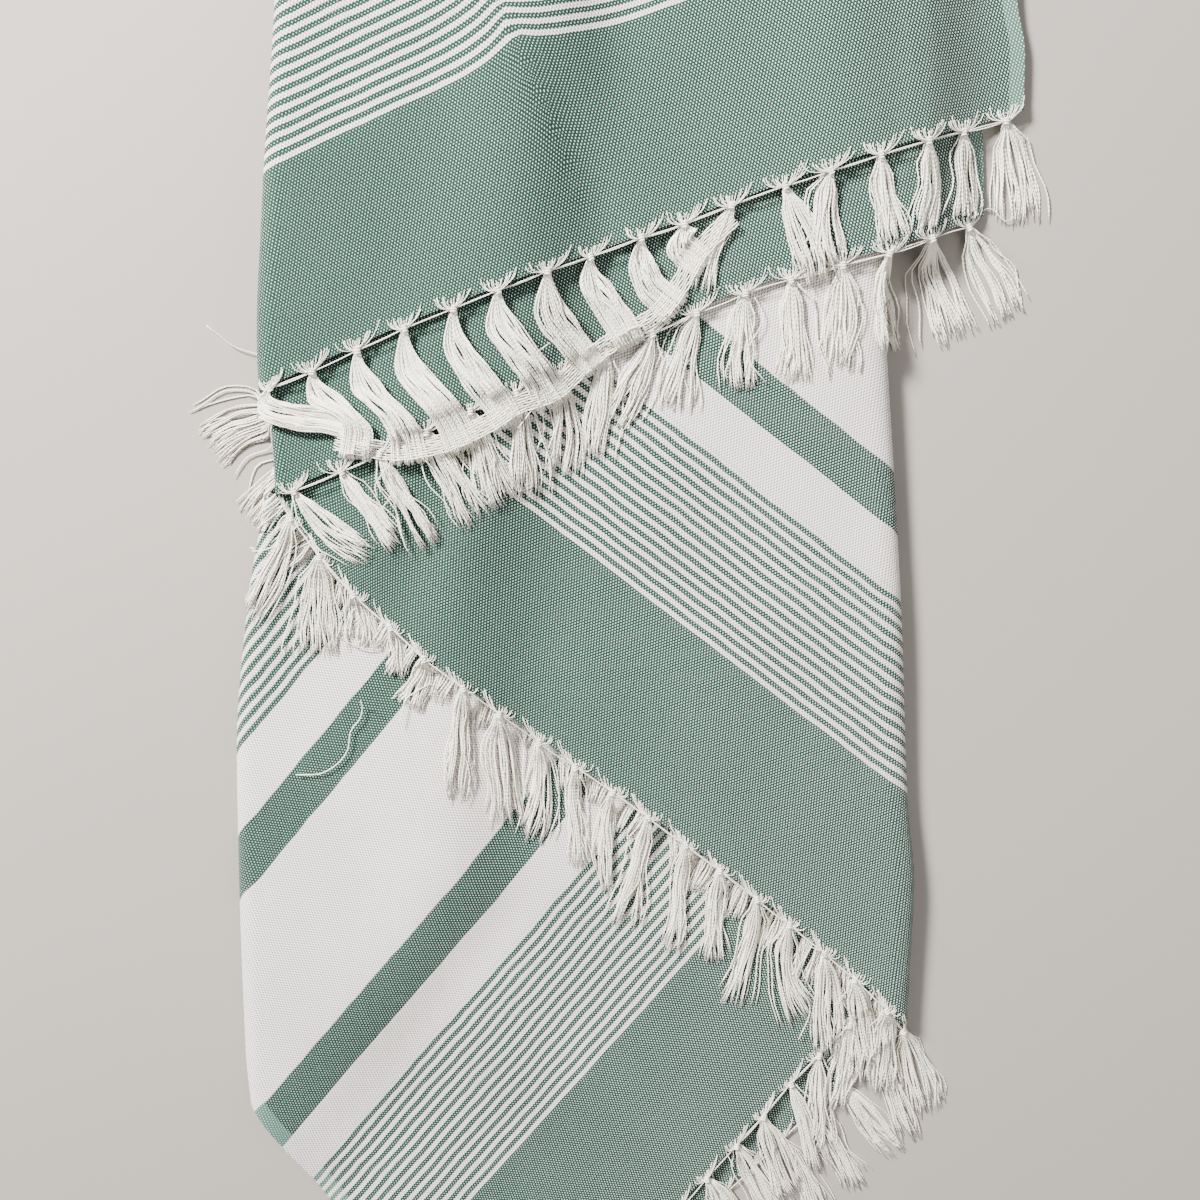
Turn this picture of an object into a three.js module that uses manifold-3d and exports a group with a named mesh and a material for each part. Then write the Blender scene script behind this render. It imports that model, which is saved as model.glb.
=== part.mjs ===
// A striped cotton bath towel with knotted fringes, folded and laid flat on a table.
// The cloth is folded once across, so that both fringed ends lie at the near side, and the two layers
// are then pleated together on three slanting lines into four panels that lie on each other.
// Millimetres, +Z up, +Y from the fringed ends to the plain fold at the far end.
import * as THREE from 'three';
import { mergeVertices } from 'three/addons/utils/BufferGeometryUtils.js';
import Module from 'manifold-3d';

const wasm = await Module();
wasm.setup();

// Driving dimensions
const CLOTH_THICKNESS = 1.8;
const LAYER_PITCH = 3.6;
const FAR_FOLD_Y = 740;
const FAR_FOLD_BULGE = 3;
const FOLD_BULGE = 4.5;
const NEST_STEP = 4.5;
const RETURN_WIDTH = 80;
const SETTLE_WIDTH = 40;
const SETTLE_MARGIN = 10;
const FRINGE_COVER = 56;
const TASSEL_PITCH = 20;
const FIRST_TASSEL = 7;
const STRIP_WIDTH = 2.4;
const STRIP_THICKNESS = 1.6;
const PART_GAP = 0.6;
const BAND_WIDTH = 8;
const BAND_THICKNESS = 1.2;
// Takes the outline's own zero, where the folds were measured, to the middle of the folded towel.
const PLAN_SHIFT = { x: -7.75, y: -159.8 };

// Number of steps on each stretch of the section and along each half of the cloth
const PANEL_STEPS = [12, 12, 17, 4];
const DROOP_CROWDING = 1.6;
const TURN_STEPS = 6;
const LENGTH_STEPS = 15;
const FAR_TURN_STEPS = 4;
const LENGTH_CROWDING = 1.5;

// The long outlines: where each fold or edge lies across, at a place along the towel.
const FIRST_FOLD = [
  { at: 40, x: -137 }, { at: 100, x: -137.5 }, { at: 163, x: -133 }, { at: 236, x: -125 },
  { at: 330, x: -119 }, { at: 500, x: -114 }, { at: FAR_FOLD_Y, x: -112 },
];
const SECOND_FOLD = [
  { at: -192, x: 138.5 }, { at: -130, x: 139 }, { at: -88, x: 134.7 }, { at: 2, x: 128 },
  { at: 145, x: 114.4 }, { at: 250, x: 106 }, { at: 400, x: 100 }, { at: FAR_FOLD_Y, x: 96 },
];
const THIRD_FOLD = [
  { at: -234, x: -159 }, { at: -205, x: -160.5 }, { at: -133, x: -160 }, { at: -65, x: -158 },
  { at: 1, x: -150 }, { at: 50, x: -139 }, { at: 95, x: -128 }, { at: 170, x: -122 },
  { at: 250, x: -116 }, { at: 400, x: -108 }, { at: FAR_FOLD_Y, x: -104 },
];
const FRONT_SELVEDGE = [
  { at: 190, x: 171 }, { at: 223, x: 170 }, { at: 241, x: 166 }, { at: 320, x: 158 },
  { at: 450, x: 146 }, { at: FAR_FOLD_Y, x: 126 },
];
const BACK_SELVEDGE = [
  { at: 150, x: 158 }, { at: 192, x: 155.5 }, { at: 240, x: 151 }, { at: 320, x: 145 },
  { at: 450, x: 134 }, { at: FAR_FOLD_Y, x: 116 },
];

// The near outline of each panel, panels in order from the top of the stack down. The fringe runs along it
// as far as the corner, and the stitched hem runs on from there.
const FRONT_END = [
  [{ at: -137.5, y: 91 }, { at: -70, y: 120 }, { at: 12, y: 150.6 }, { at: 90, y: 178 }, { at: 171, y: 203 }],
  [{ at: -137.5, y: 91 }, { at: -126, y: 66 }, { at: -105, y: 42 }, { at: 0, y: -46 }, { at: 134, y: -167 }],
  [{ at: -161, y: -226 }, { at: -155.4, y: -234 }, { at: -51.5, y: -390 }, { at: 47, y: -270 },
    { at: 97, y: -209 }, { at: 134, y: -167 }],
  [{ at: -161, y: -226 }, { at: -76, y: -98 }],
];
const BACK_END = [
  [{ at: -133, y: 49 }, { at: 28, y: 119 }, { at: 65, y: 134 }, { at: 122, y: 149.5 }, { at: 158, y: 162 }],
  [{ at: -133, y: 49 }, { at: -111.6, y: 19 }, { at: -88, y: -5 }, { at: -57, y: -32 }, { at: 48, y: -111 },
    { at: 128, y: -179 }, { at: 139, y: -192 }],
  [{ at: -156, y: -206 }, { at: -140, y: -230 }, { at: -39, y: -382 }, { at: 47, y: -290 },
    { at: 139, y: -192 }],
  [{ at: -156, y: -206 }, { at: -72, y: -80 }],
];

// The front half is outermost at the first and third fold, the back half at the second.
const HALVES = {
  front: {
    selvedge: FRONT_SELVEDGE, nearEnd: FRONT_END, inset: [0, NEST_STEP, 0],
    level: [7, 4, 3, 0], corner: -51.5,
  },
  back: {
    selvedge: BACK_SELVEDGE, nearEnd: BACK_END, inset: [NEST_STEP, 0, NEST_STEP],
    level: [6, 5, 2, 1], corner: -39,
  },
};

// Soft swells of the stack: place, reach across and along, and the share by which the stack is raised
const SWELLS = [
  { x: -32, y: 235, across: 26, along: 120, rise: 0.22 },
  { x: 95, y: 215, across: 22, along: 130, rise: 0.2 },
  { x: -75, y: 60, across: 30, along: 45, rise: 0.25 },
  { x: 60, y: -20, across: 55, along: 90, rise: 0.2 },
  { x: -60, y: -190, across: 45, along: 90, rise: 0.35 },
  { x: 20, y: 520, across: 60, along: 140, rise: 0.22 },
];

// How the tassels of each panel lie, at places across it: their lean in degrees from straight down the towel
// towards the right, and their length. Inside the second fold the front half's stay within the wider turn.
const TASSELS = {
  front: [
    [{ at: -137, turn: 58, length: 36 }, { at: -112, turn: 20, length: 34 }, { at: -76, turn: 12, length: 44 },
      { at: -48, turn: 18, length: 40 }, { at: -10, turn: 26, length: 32 }, { at: 24, turn: 16, length: 24 },
      { at: 42, turn: -20, length: 18 }, { at: 55, turn: 10, length: 36 }, { at: 72, turn: 16, length: 38 },
      { at: 120, turn: 2, length: 38 }, { at: 150, turn: 2, length: 38 }, { at: 168, turn: 20, length: 38 }],
    [{ at: -139, turn: -88, length: 34 }, { at: -132, turn: -55, length: 34 }, { at: -110, turn: -30, length: 34 },
      { at: 0, turn: -25, length: 34 }, { at: 134, turn: -12, length: 34 }],
    [{ at: -51, turn: 26, length: 46 }, { at: 45, turn: 30, length: 46 }, { at: 72, turn: 26, length: 46 },
      { at: 97, turn: 6, length: 46 }, { at: 112, turn: -10, length: 46 }],
  ],
  back: [
    [{ at: -133, turn: 34, length: 40 }, { at: -95, turn: 24, length: 40 }, { at: 20, turn: -12, length: 40 },
      { at: 47, turn: -22, length: 40 }, { at: 65, turn: 20, length: 40 }, { at: 110, turn: 0, length: 42 },
      { at: 158, turn: 18, length: 44 }],
    [{ at: -134, turn: -32, length: 50 }, { at: -120, turn: -9, length: 50 }, { at: 70, turn: -5, length: 50 },
      { at: 95, turn: 7, length: 50 }, { at: 125, turn: 12, length: 50 }, { at: 139, turn: 24, length: 50 }],
    [{ at: -39, turn: 30, length: 46 }, { at: 110, turn: 32, length: 46 }, { at: 139, turn: 24, length: 46 }],
  ],
};
const SWAY = 5;
const LENGTH_SPREAD = 0.06;
// The uppermost tassels lie a little clear of the layer under them.
const LOCK_LIFT = 1.1;
// The stretch of the uppermost panel across which a woven band was left on the tassels' tips
const BAND = { from: -125, to: 42 };
const LOCK_RINGS = [
  { share: 0, width: 2, thickness: 1.4 },
  { share: 0.09, width: 4.2, thickness: 1.75 },
  { share: 0.32, width: 6.6, thickness: 1.75 },
  { share: 0.55, width: 8.4, thickness: 1.75 },
  { share: 0.78, width: 9.6, thickness: 1.7 },
  { share: 1, width: 10.5, thickness: 1.5 },
];

const ramp = (from, to, value) => {
  const t = Math.min(1, Math.max(0, (value - from) / (to - from)));
  return t * t * (3 - 2 * t);
};

// Reads a table of rows at any place between them, on straight lines.
function readStraight(table, column, at) {
  const last = table.length - 1;
  if (at <= table[0].at) return table[0][column];
  if (at >= table[last].at) return table[last][column];
  const k = table.findIndex((row) => row.at >= at);
  const low = table[k - 1];
  const high = table[k];
  return low[column] + ((high[column] - low[column]) * (at - low.at)) / (high.at - low.at);
}

const foldX = (table, y) => readStraight(table, 'x', y);
const nearY = (half, panel, x) => readStraight(half.nearEnd[panel], 'y', x);

// How far a point lies inside the folded-under return, the third and the second panel, fringe included.
function insideReturn(x, y) {
  const left = foldX(THIRD_FOLD, y);
  const [low, high] = FRONT_END[3];
  const slope = (high.y - low.y) / (high.at - low.at);
  const fromEdge = (y - low.y - slope * (x - left)) / Math.hypot(1, slope);
  return Math.min(left + RETURN_WIDTH + SETTLE_MARGIN - x, fromEdge + 1.6 * SETTLE_MARGIN);
}

function insidePanel(panel, x, y) {
  const left = panel === 1 ? foldX(FIRST_FOLD, y) : foldX(THIRD_FOLD, y);
  const end = Math.min(nearY(HALVES.front, panel, x), nearY(HALVES.back, panel, x)) - FRINGE_COVER;
  return Math.min(x - left, foldX(SECOND_FOLD, y) + SETTLE_MARGIN - x, y - end);
}

const covered = (inside) => ramp(-SETTLE_WIDTH, 0, inside);

function swell(x, y) {
  return SWELLS.reduce((sum, s) => sum
    + s.rise * Math.exp(-(((x - s.x) / s.across) ** 2) - ((y - s.y) / s.along) ** 2), 0);
}

// Middle height of a panel of one half: two layers higher for each pair of layers that lies below it there.
function layerHeight(half, panel, x, y) {
  const pairsBelow = [
    () => covered(insideReturn(x, y)),
    () => covered(insidePanel(2, x, y)),
    () => covered(insidePanel(1, x, y)),
  ].slice(0, 3 - panel).reduce((sum, pair) => sum + pair(), 0);
  const upper = half.level[panel] % 2;
  const layersBelow = 2 * pairsBelow + upper;
  return CLOTH_THICKNESS / 2 + LAYER_PITCH * layersBelow * (1 + swell(x, y));
}

// The section of one half, right to left and back, as stations: flat stretches and half turns by turns.
function makeStations() {
  const stations = [];
  for (let panel = 0; panel < 4; panel += 1) {
    const steps = PANEL_STEPS[panel];
    const crowding = panel === 0 ? DROOP_CROWDING : 1;
    for (let k = 0; k <= steps; k += 1) stations.push({ panel, share: (k / steps) ** crowding, turn: false });
    if (panel < 3) {
      for (let k = 1; k < TURN_STEPS; k += 1) stations.push({ panel, share: k / TURN_STEPS, turn: true });
    }
  }
  return stations;
}

const STATIONS = makeStations();
const TURN_SIDE = [-1, 1, -1];
const FOLDS = [FIRST_FOLD, SECOND_FOLD, THIRD_FOLD];

// Centre and reach of the half turn after a panel. The outer of the two layers has the wider turn.
function turnAt(half, fold, y) {
  const reach = FOLD_BULGE + NEST_STEP - half.inset[fold];
  const edge = foldX(FOLDS[fold], y) - TURN_SIDE[fold] * half.inset[fold];
  return { reach, centre: edge - TURN_SIDE[fold] * reach };
}

function sectionPoint(half, station, y) {
  const { panel, share, turn } = station;
  if (turn) {
    const { reach, centre } = turnAt(half, panel, y);
    const angle = Math.PI * share;
    const upper = layerHeight(half, panel, centre, y);
    const lower = layerHeight(half, panel + 1, centre, y);
    return {
      x: centre + TURN_SIDE[panel] * reach * Math.sin(angle),
      z: lower + ((upper - lower) * (1 + Math.cos(angle))) / 2,
    };
  }
  const start = panel === 0 ? foldX(half.selvedge, y) : turnAt(half, panel - 1, y).centre;
  const finish = panel === 3 ? start + RETURN_WIDTH : turnAt(half, panel, y).centre;
  const x = start + (finish - start) * share;
  return { x, z: layerHeight(half, panel, x, y) };
}

// Where a station's line meets the near outline, found by stepping towards it.
function nearEndOf(half, station) {
  const panel = station.turn && station.share > 0.5 ? station.panel + 1 : station.panel;
  let y = nearY(half, panel, 0);
  for (let k = 0; k < 12; k += 1) y = nearY(half, panel, sectionPoint(half, station, y).x);
  return y;
}

// Points of one station's line: up the front half, round the far fold and down the back half.
function stationLine(station) {
  const line = [];
  const run = (half, share) => {
    const y = nearEndOf(half, station);
    const at = y + (FAR_FOLD_Y - y) * share;
    const p = sectionPoint(half, station, at);
    return new THREE.Vector3(p.x, at, p.z);
  };
  for (let k = 0; k <= LENGTH_STEPS; k += 1) {
    line.push(run(HALVES.front, (k / LENGTH_STEPS) ** LENGTH_CROWDING));
  }
  const front = sectionPoint(HALVES.front, station, FAR_FOLD_Y);
  const back = sectionPoint(HALVES.back, station, FAR_FOLD_Y);
  for (let k = 1; k < FAR_TURN_STEPS; k += 1) {
    const angle = (Math.PI * k) / FAR_TURN_STEPS;
    const mix = (1 - Math.cos(angle)) / 2;
    line.push(new THREE.Vector3(
      front.x + (back.x - front.x) * mix,
      FAR_FOLD_Y + FAR_FOLD_BULGE * Math.sin(angle),
      front.z + (back.z - front.z) * mix,
    ));
  }
  for (let k = LENGTH_STEPS; k >= 0; k -= 1) {
    line.push(run(HALVES.back, (k / LENGTH_STEPS) ** LENGTH_CROWDING));
  }
  return line;
}

// Unit normals of a grid of points, from the two directions along the grid.
function gridNormals(grid) {
  const clamp = (k, count) => Math.min(count - 1, Math.max(0, k));
  return grid.map((line, i) => line.map((_, j) => {
    const along = new THREE.Vector3().subVectors(
      line[clamp(j + 1, line.length)],
      line[clamp(j - 1, line.length)],
    );
    const across = new THREE.Vector3().subVectors(
      grid[clamp(i + 1, grid.length)][j],
      grid[clamp(i - 1, grid.length)][j],
    );
    return new THREE.Vector3().crossVectors(along, across).normalize();
  }));
}

// A closed sheet of the given thickness on a grid of middle points.
function sheetGeometry(grid, thickness) {
  const rows = grid.length;
  const columns = grid[0].length;
  const normals = gridNormals(grid);
  const positions = [];
  [1, -1].forEach((side) => grid.forEach((line, i) => line.forEach((point, j) => {
    positions.push(...point.clone().addScaledVector(normals[i][j], (side * thickness) / 2).toArray());
  })));
  const vertex = (face, i, j) => face * rows * columns + i * columns + j;
  const faces = [];
  const quad = (a, b, c, d) => faces.push(a, b, c, a, c, d);
  for (let i = 0; i < rows - 1; i += 1) {
    for (let j = 0; j < columns - 1; j += 1) {
      quad(vertex(0, i, j), vertex(0, i, j + 1), vertex(0, i + 1, j + 1), vertex(0, i + 1, j));
      quad(vertex(1, i, j), vertex(1, i + 1, j), vertex(1, i + 1, j + 1), vertex(1, i, j + 1));
    }
    const last = columns - 1;
    quad(vertex(0, i, 0), vertex(0, i + 1, 0), vertex(1, i + 1, 0), vertex(1, i, 0));
    quad(vertex(0, i, last), vertex(1, i, last), vertex(1, i + 1, last), vertex(0, i + 1, last));
  }
  for (let j = 0; j < columns - 1; j += 1) {
    const last = rows - 1;
    quad(vertex(0, 0, j), vertex(1, 0, j), vertex(1, 0, j + 1), vertex(0, 0, j + 1));
    quad(vertex(0, last, j), vertex(0, last, j + 1), vertex(1, last, j + 1), vertex(1, last, j));
  }
  return indexedGeometry(positions, faces);
}

function indexedGeometry(positions, faces) {
  const geometry = new THREE.BufferGeometry();
  geometry.setAttribute('position', new THREE.Float32BufferAttribute(positions, 3));
  geometry.setIndex(faces);
  if (signedVolume(geometry) < 0) {
    const turned = [];
    for (let k = 0; k < faces.length; k += 3) turned.push(faces[k], faces[k + 2], faces[k + 1]);
    geometry.setIndex(turned);
  }
  return geometry;
}

function signedVolume(geometry) {
  const position = geometry.getAttribute('position');
  const index = geometry.getIndex();
  const corner = (k) => new THREE.Vector3().fromBufferAttribute(position, index.getX(k));
  let volume = 0;
  for (let k = 0; k < index.count; k += 3) volume += corner(k).dot(corner(k + 1).cross(corner(k + 2))) / 6;
  return volume;
}

function toSolid(geometry) {
  const plain = geometry.clone();
  Object.keys(plain.attributes).filter((name) => name !== 'position')
    .forEach((name) => plain.deleteAttribute(name));
  const merged = mergeVertices(plain, 1e-4);
  return new wasm.Manifold(new wasm.Mesh({
    numProp: 3,
    vertProperties: Float32Array.from(merged.getAttribute('position').array),
    triVerts: Uint32Array.from(merged.getIndex().array),
  }));
}

function fromSolid(solid) {
  const mesh = solid.getMesh();
  const geometry = new THREE.BufferGeometry();
  geometry.setAttribute('position', new THREE.Float32BufferAttribute(mesh.vertProperties, 3));
  geometry.setIndex([...mesh.triVerts]);
  return geometry;
}

// A tube of four corners on rings of given middle, side direction, width and thickness, closed at its ends.
function fourSidedTube(rings) {
  const positions = [];
  rings.forEach(({ middle, side, width, thickness, up }) => {
    [[1, 1], [-1, 1], [-1, -1], [1, -1]].forEach(([s, t]) => {
      positions.push(...middle.clone()
        .addScaledVector(side, (s * width) / 2)
        .addScaledVector(up ?? new THREE.Vector3(0, 0, 1), (t * thickness) / 2)
        .toArray());
    });
  });
  const faces = [0, 2, 1, 0, 3, 2];
  for (let r = 0; r < rings.length - 1; r += 1) {
    for (let k = 0; k < 4; k += 1) {
      const a = 4 * r + k;
      const b = 4 * r + ((k + 1) % 4);
      faces.push(a, b, b + 4, a, b + 4, a + 4);
    }
  }
  const end = 4 * (rings.length - 1);
  faces.push(end, end + 1, end + 2, end, end + 2, end + 3);
  return indexedGeometry(positions, faces);
}

// The line on which a fringe hangs: the half's near outline, from the selvedge to the corner.
function fringeLine(half, grid) {
  const first = half === HALVES.front;
  const points = [];
  const outward = [];
  grid.forEach((line, i) => {
    const station = STATIONS[i];
    const end = first ? line[0] : line[line.length - 1];
    const next = first ? line[1] : line[line.length - 2];
    const pastCorner = station.panel === 3 || (station.panel === 2 && (station.turn || end.x < half.corner));
    if (!pastCorner) {
      points.push(end);
      outward.push(new THREE.Vector3().subVectors(end, next).normalize());
    }
  });
  return { points, outward };
}

// One knotted tassel as a lock of four sides that lies on what is under it.
function tassel(half, laid, panel, root, number) {
  const sway = SWAY * Math.sin(2.4 * number + panel);
  const lean = THREE.MathUtils.degToRad(readStraight(laid, 'turn', root.x) + sway);
  const direction = new THREE.Vector3(Math.sin(lean), -Math.cos(lean), 0);
  const side = new THREE.Vector3(-direction.y, direction.x, 0);
  const length = readStraight(laid, 'length', root.x) * (1 + LENGTH_SPREAD * Math.sin(1.7 * number));
  const rings = LOCK_RINGS.map(({ share, width, thickness }) => {
    const middle = root.clone().addScaledVector(direction, share * length);
    const lift = panel === 0 ? LOCK_LIFT : 0;
    const resting = layerHeight(half, panel, middle.x, middle.y) + lift;
    middle.z = root.z + (resting - root.z) * ramp(0, 0.4, share);
    return { middle, side, width, thickness };
  });
  return { geometry: fourSidedTube(rings), tip: rings[rings.length - 1].middle };
}

// The woven band that joins the tips of some tassels.
function tipBand(joined) {
  const rings = joined.map((middle, k) => {
    const along = new THREE.Vector3().subVectors(
      joined[Math.min(k + 1, joined.length - 1)],
      joined[Math.max(k - 1, 0)],
    ).setZ(0).normalize();
    const side = new THREE.Vector3(-along.y, along.x, 0);
    return { middle, side, width: BAND_WIDTH, thickness: BAND_THICKNESS };
  });
  return toSolid(fourSidedTube(rings));
}

function fringe(name, grid) {
  const half = HALVES[name];
  const { points, outward } = fringeLine(half, grid);
  const stripPoints = points.map((p, k) => p.clone().addScaledVector(outward[k], PART_GAP + STRIP_WIDTH / 2));
  const rings = stripPoints.map((middle, k) => {
    const along = new THREE.Vector3().subVectors(
      stripPoints[Math.min(k + 1, stripPoints.length - 1)],
      stripPoints[Math.max(k - 1, 0)],
    );
    const up = new THREE.Vector3().crossVectors(along, outward[k]).normalize();
    return { middle, side: outward[k], width: STRIP_WIDTH, thickness: STRIP_THICKNESS, up };
  });
  const solids = [toSolid(fourSidedTube(rings))];
  const bandTips = [];
  let count = 0;
  let walked = 0;
  let due = FIRST_TASSEL;
  for (let k = 1; k < stripPoints.length; k += 1) {
    const step = stripPoints[k].distanceTo(stripPoints[k - 1]);
    while (due <= walked + step) {
      const root = stripPoints[k - 1].clone().lerp(stripPoints[k], (due - walked) / step);
      const station = STATIONS[k];
      const panel = station.turn && station.share > 0.5 ? station.panel + 1 : station.panel;
      const lock = tassel(half, TASSELS[name][panel], panel, root, count);
      solids.push(toSolid(lock.geometry));
      count += 1;
      if (panel === 0 && root.x > BAND.from && root.x < BAND.to) bandTips.push(lock.tip);
      due += TASSEL_PITCH;
    }
    walked += step;
  }
  if (name === 'front') solids.push(tipBand(bandTips));
  return solids;
}

const cotton = (name, color, roughness) => new THREE.MeshStandardMaterial({ name, color, roughness, metalness: 0 });

function addNode(group, name, geometry, material) {
  geometry.computeVertexNormals();
  const mesh = new THREE.Mesh(geometry, material);
  mesh.name = name;
  mesh.position.set(PLAN_SHIFT.x, PLAN_SHIFT.y, 0);
  group.add(mesh);
}

const towel = new THREE.Group();
const clothGrid = STATIONS.map((station) => stationLine(station));
addNode(towel, 'towel', sheetGeometry(clothGrid, CLOTH_THICKNESS), cotton('green striped cotton', 0x86a899, 0.95));
['front', 'back'].forEach((name) => {
  const solid = wasm.Manifold.union(fringe(name, clothGrid));
  addNode(towel, `fringe_${name}`, fromSolid(solid), cotton('white cotton yarn', 0xeceae2, 0.9));
});

export default towel;
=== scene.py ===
"""A striped cotton bath towel with knotted fringes, folded across, pleated in slanting panels and laid flat.

The classes hold their sizes in millimetres, in the towel's own plan: +Z up and +Y from the fringed ends to
the plain far fold. Meshes are written in metres, moved so that the box's middle lies on the origin.
"""
import logging
from dataclasses import dataclass, field
from enum import Enum, IntEnum

import bpy
import numpy as np
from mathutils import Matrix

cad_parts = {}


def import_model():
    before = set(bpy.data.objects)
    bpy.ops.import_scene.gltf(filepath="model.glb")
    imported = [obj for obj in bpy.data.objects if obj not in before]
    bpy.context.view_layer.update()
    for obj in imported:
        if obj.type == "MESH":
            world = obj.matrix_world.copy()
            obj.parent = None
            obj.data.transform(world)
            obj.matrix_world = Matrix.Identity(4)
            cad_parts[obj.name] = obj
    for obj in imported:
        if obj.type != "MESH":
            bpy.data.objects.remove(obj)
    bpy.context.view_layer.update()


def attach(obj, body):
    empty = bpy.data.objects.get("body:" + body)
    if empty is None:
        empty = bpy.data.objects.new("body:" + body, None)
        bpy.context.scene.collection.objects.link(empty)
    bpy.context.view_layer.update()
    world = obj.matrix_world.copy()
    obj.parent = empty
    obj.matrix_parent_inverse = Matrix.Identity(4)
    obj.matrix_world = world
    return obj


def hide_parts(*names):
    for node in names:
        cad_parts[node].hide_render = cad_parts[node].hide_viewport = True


MM = 0.001
PLAN_SHIFT = np.array([-7.75, -159.8, 0.0])
SEED = 11


def ramp(start: float, stop: float, value: np.ndarray) -> np.ndarray:
    """Gives 0 before start and 1 after stop, and eases between them as 3t^2 - 2t^3.

    Args:
        start: value at which the rise begins.
        stop: value at which it ends.
        value: places to read.

    Returns:
        The share of the rise at each place.
    """
    t = np.clip((value - start) / (stop - start), 0.0, 1.0)
    return t * t * (3.0 - 2.0 * t)


def linear(colour: str) -> tuple[float, float, float, float]:
    """Turns an sRGB hex colour into the linear values that shaders take.

    Args:
        colour: six hex digits after a hash sign.

    Returns:
        Linear red, green and blue with full alpha.
    """
    parts = np.array([int(colour[k:k + 2], 16) for k in (1, 3, 5)]) / 255.0
    values = np.where(parts <= 0.04045, parts / 12.92, ((parts + 0.055) / 1.055) ** 2.4)
    return (*values.tolist(), 1.0)


def beside_line(start: tuple[float, float], end: tuple[float, float], x: np.ndarray,
                y: np.ndarray) -> tuple[np.ndarray, np.ndarray, float]:
    """Measures places in plan against a straight line.

    Args:
        start: start of the line.
        end: its end.
        x: places across.
        y: places along.

    Returns:
        The distances along the line from its start, the signed distances to its side, and its length.
    """
    line = np.subtract(end, start)
    length = np.hypot(*line)
    along = ((x - start[0]) * line[0] + (y - start[1]) * line[1]) / length
    across = ((y - start[1]) * line[0] - (x - start[0]) * line[1]) / length
    return along, across, length


def walk(points: np.ndarray) -> np.ndarray:
    """Adds up the distance walked to each of a line's points."""
    return np.concatenate(([0.0], np.cumsum(np.linalg.norm(np.diff(points, axis=0), axis=1))))


def raised(plan: np.ndarray, height: np.ndarray | float) -> np.ndarray:
    """Gives places in plan a height."""
    return np.concatenate([plan, np.broadcast_to(height, plan.shape[:-1])[..., None]], -1)


@dataclass(frozen=True)
class Profile:
    """A smooth line through a few points that never overshoots them."""

    points: tuple[tuple[float, float], ...]

    def read(self, at: np.ndarray) -> np.ndarray:
        """Reads cubic pieces whose slope at each point is the harmonic mean of the chords beside it.

        Args:
            at: places along the line; past its ends it stays level.

        Returns:
            The line's value at each place.
        """
        place, value = np.array(self.points).T
        step = np.diff(place)
        chord = np.diff(value) / step
        product = chord[:-1] * chord[1:]
        total = np.where(product > 0, chord[:-1] + chord[1:], 1.0)
        inner = np.where(product > 0, 2.0 * product / total, 0.0)
        slope = np.concatenate(([chord[0]], inner, [chord[-1]]))
        clipped = np.clip(at, place[0], place[-1])
        k = np.clip(np.searchsorted(place, clipped) - 1, 0, len(step) - 1)
        t = (clipped - place[k]) / step[k]
        rise = t * t * (3.0 - 2.0 * t)
        leave = t * (1.0 - t) ** 2
        arrive = t * t * (t - 1.0)
        bend = (leave * slope[k] + arrive * slope[k + 1]) * step[k]
        return value[k] + (value[k + 1] - value[k]) * rise + bend


def curve_through(points: np.ndarray, at: np.ndarray) -> np.ndarray:
    """Reads the smooth line through points in plan, at distances walked from the first of them."""
    walked = walk(points).tolist()
    return np.stack([Profile(tuple(zip(walked, points[:, k].tolist()))).read(at) for k in (0, 1)], -1)


class Panel(IntEnum):
    """The pleated panels of one half of the cloth, from the top of the stack down."""

    TOP = 0
    SECOND = 1
    THIRD = 2
    RETURN = 3


@dataclass(frozen=True)
class StripeLine:
    """The line from which a panel's stripes are counted: a point on it and its slant in degrees."""

    x: float
    y: float
    slant: float

    def threads(self, x: np.ndarray, y: np.ndarray) -> tuple[np.ndarray, np.ndarray]:
        """Turns plan places by the slant.

        Args:
            x: places across.
            y: places along.

        Returns:
            The distance along the stripes, to the right, and the distance from the line, to the far side.
        """
        turn = np.radians(self.slant)
        along = (x - self.x) * np.cos(turn) + (y - self.y) * np.sin(turn)
        away = (y - self.y) * np.cos(turn) - (x - self.x) * np.sin(turn)
        return along, away


@dataclass(frozen=True)
class Half:
    """One of the two layers that the fold across makes: its outlines and its place in the stack.

    selvedge is the stitched long edge on the top panel, near_ends the near outline of each panel, inset how
    far the half lies inside each fold, levels its place in the stack from the surface up, corner the place
    across at which the fringe ends and the selvedge starts, and stripes the line that each panel counts from.
    """

    selvedge: Profile
    near_ends: tuple[Profile, Profile, Profile, Profile]
    inset: tuple[float, float, float]
    levels: tuple[int, int, int, int]
    corner: float
    stripes: tuple[StripeLine, StripeLine, StripeLine]


@dataclass(frozen=True)
class Swell:
    """A soft swell of the stack: its place, its reach across and along, and the share by which it rises."""

    x: float
    y: float
    across: float
    along: float
    rise: float


@dataclass(frozen=True)
class Crease:
    """A soft trough (or, with a negative depth, a ridge) on one panel of one half, from a start to an end."""

    half: str
    panel: Panel
    start: tuple[float, float]
    end: tuple[float, float]
    width: float
    depth: float
    end_stretch: float = 3.0

    def drop(self, x: np.ndarray, y: np.ndarray) -> np.ndarray:
        """Falls off on both sides of the line as a bell curve, and past its ends in the same way.

        Args:
            x: places across.
            y: places along.

        Returns:
            The drop at each place.
        """
        along, across, length = beside_line(self.start, self.end, x, y)
        beyond = np.maximum(np.maximum(-along, along - length), 0.0) / self.end_stretch
        return self.depth * np.exp(-(across ** 2 + beyond ** 2) / self.width ** 2)


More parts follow.
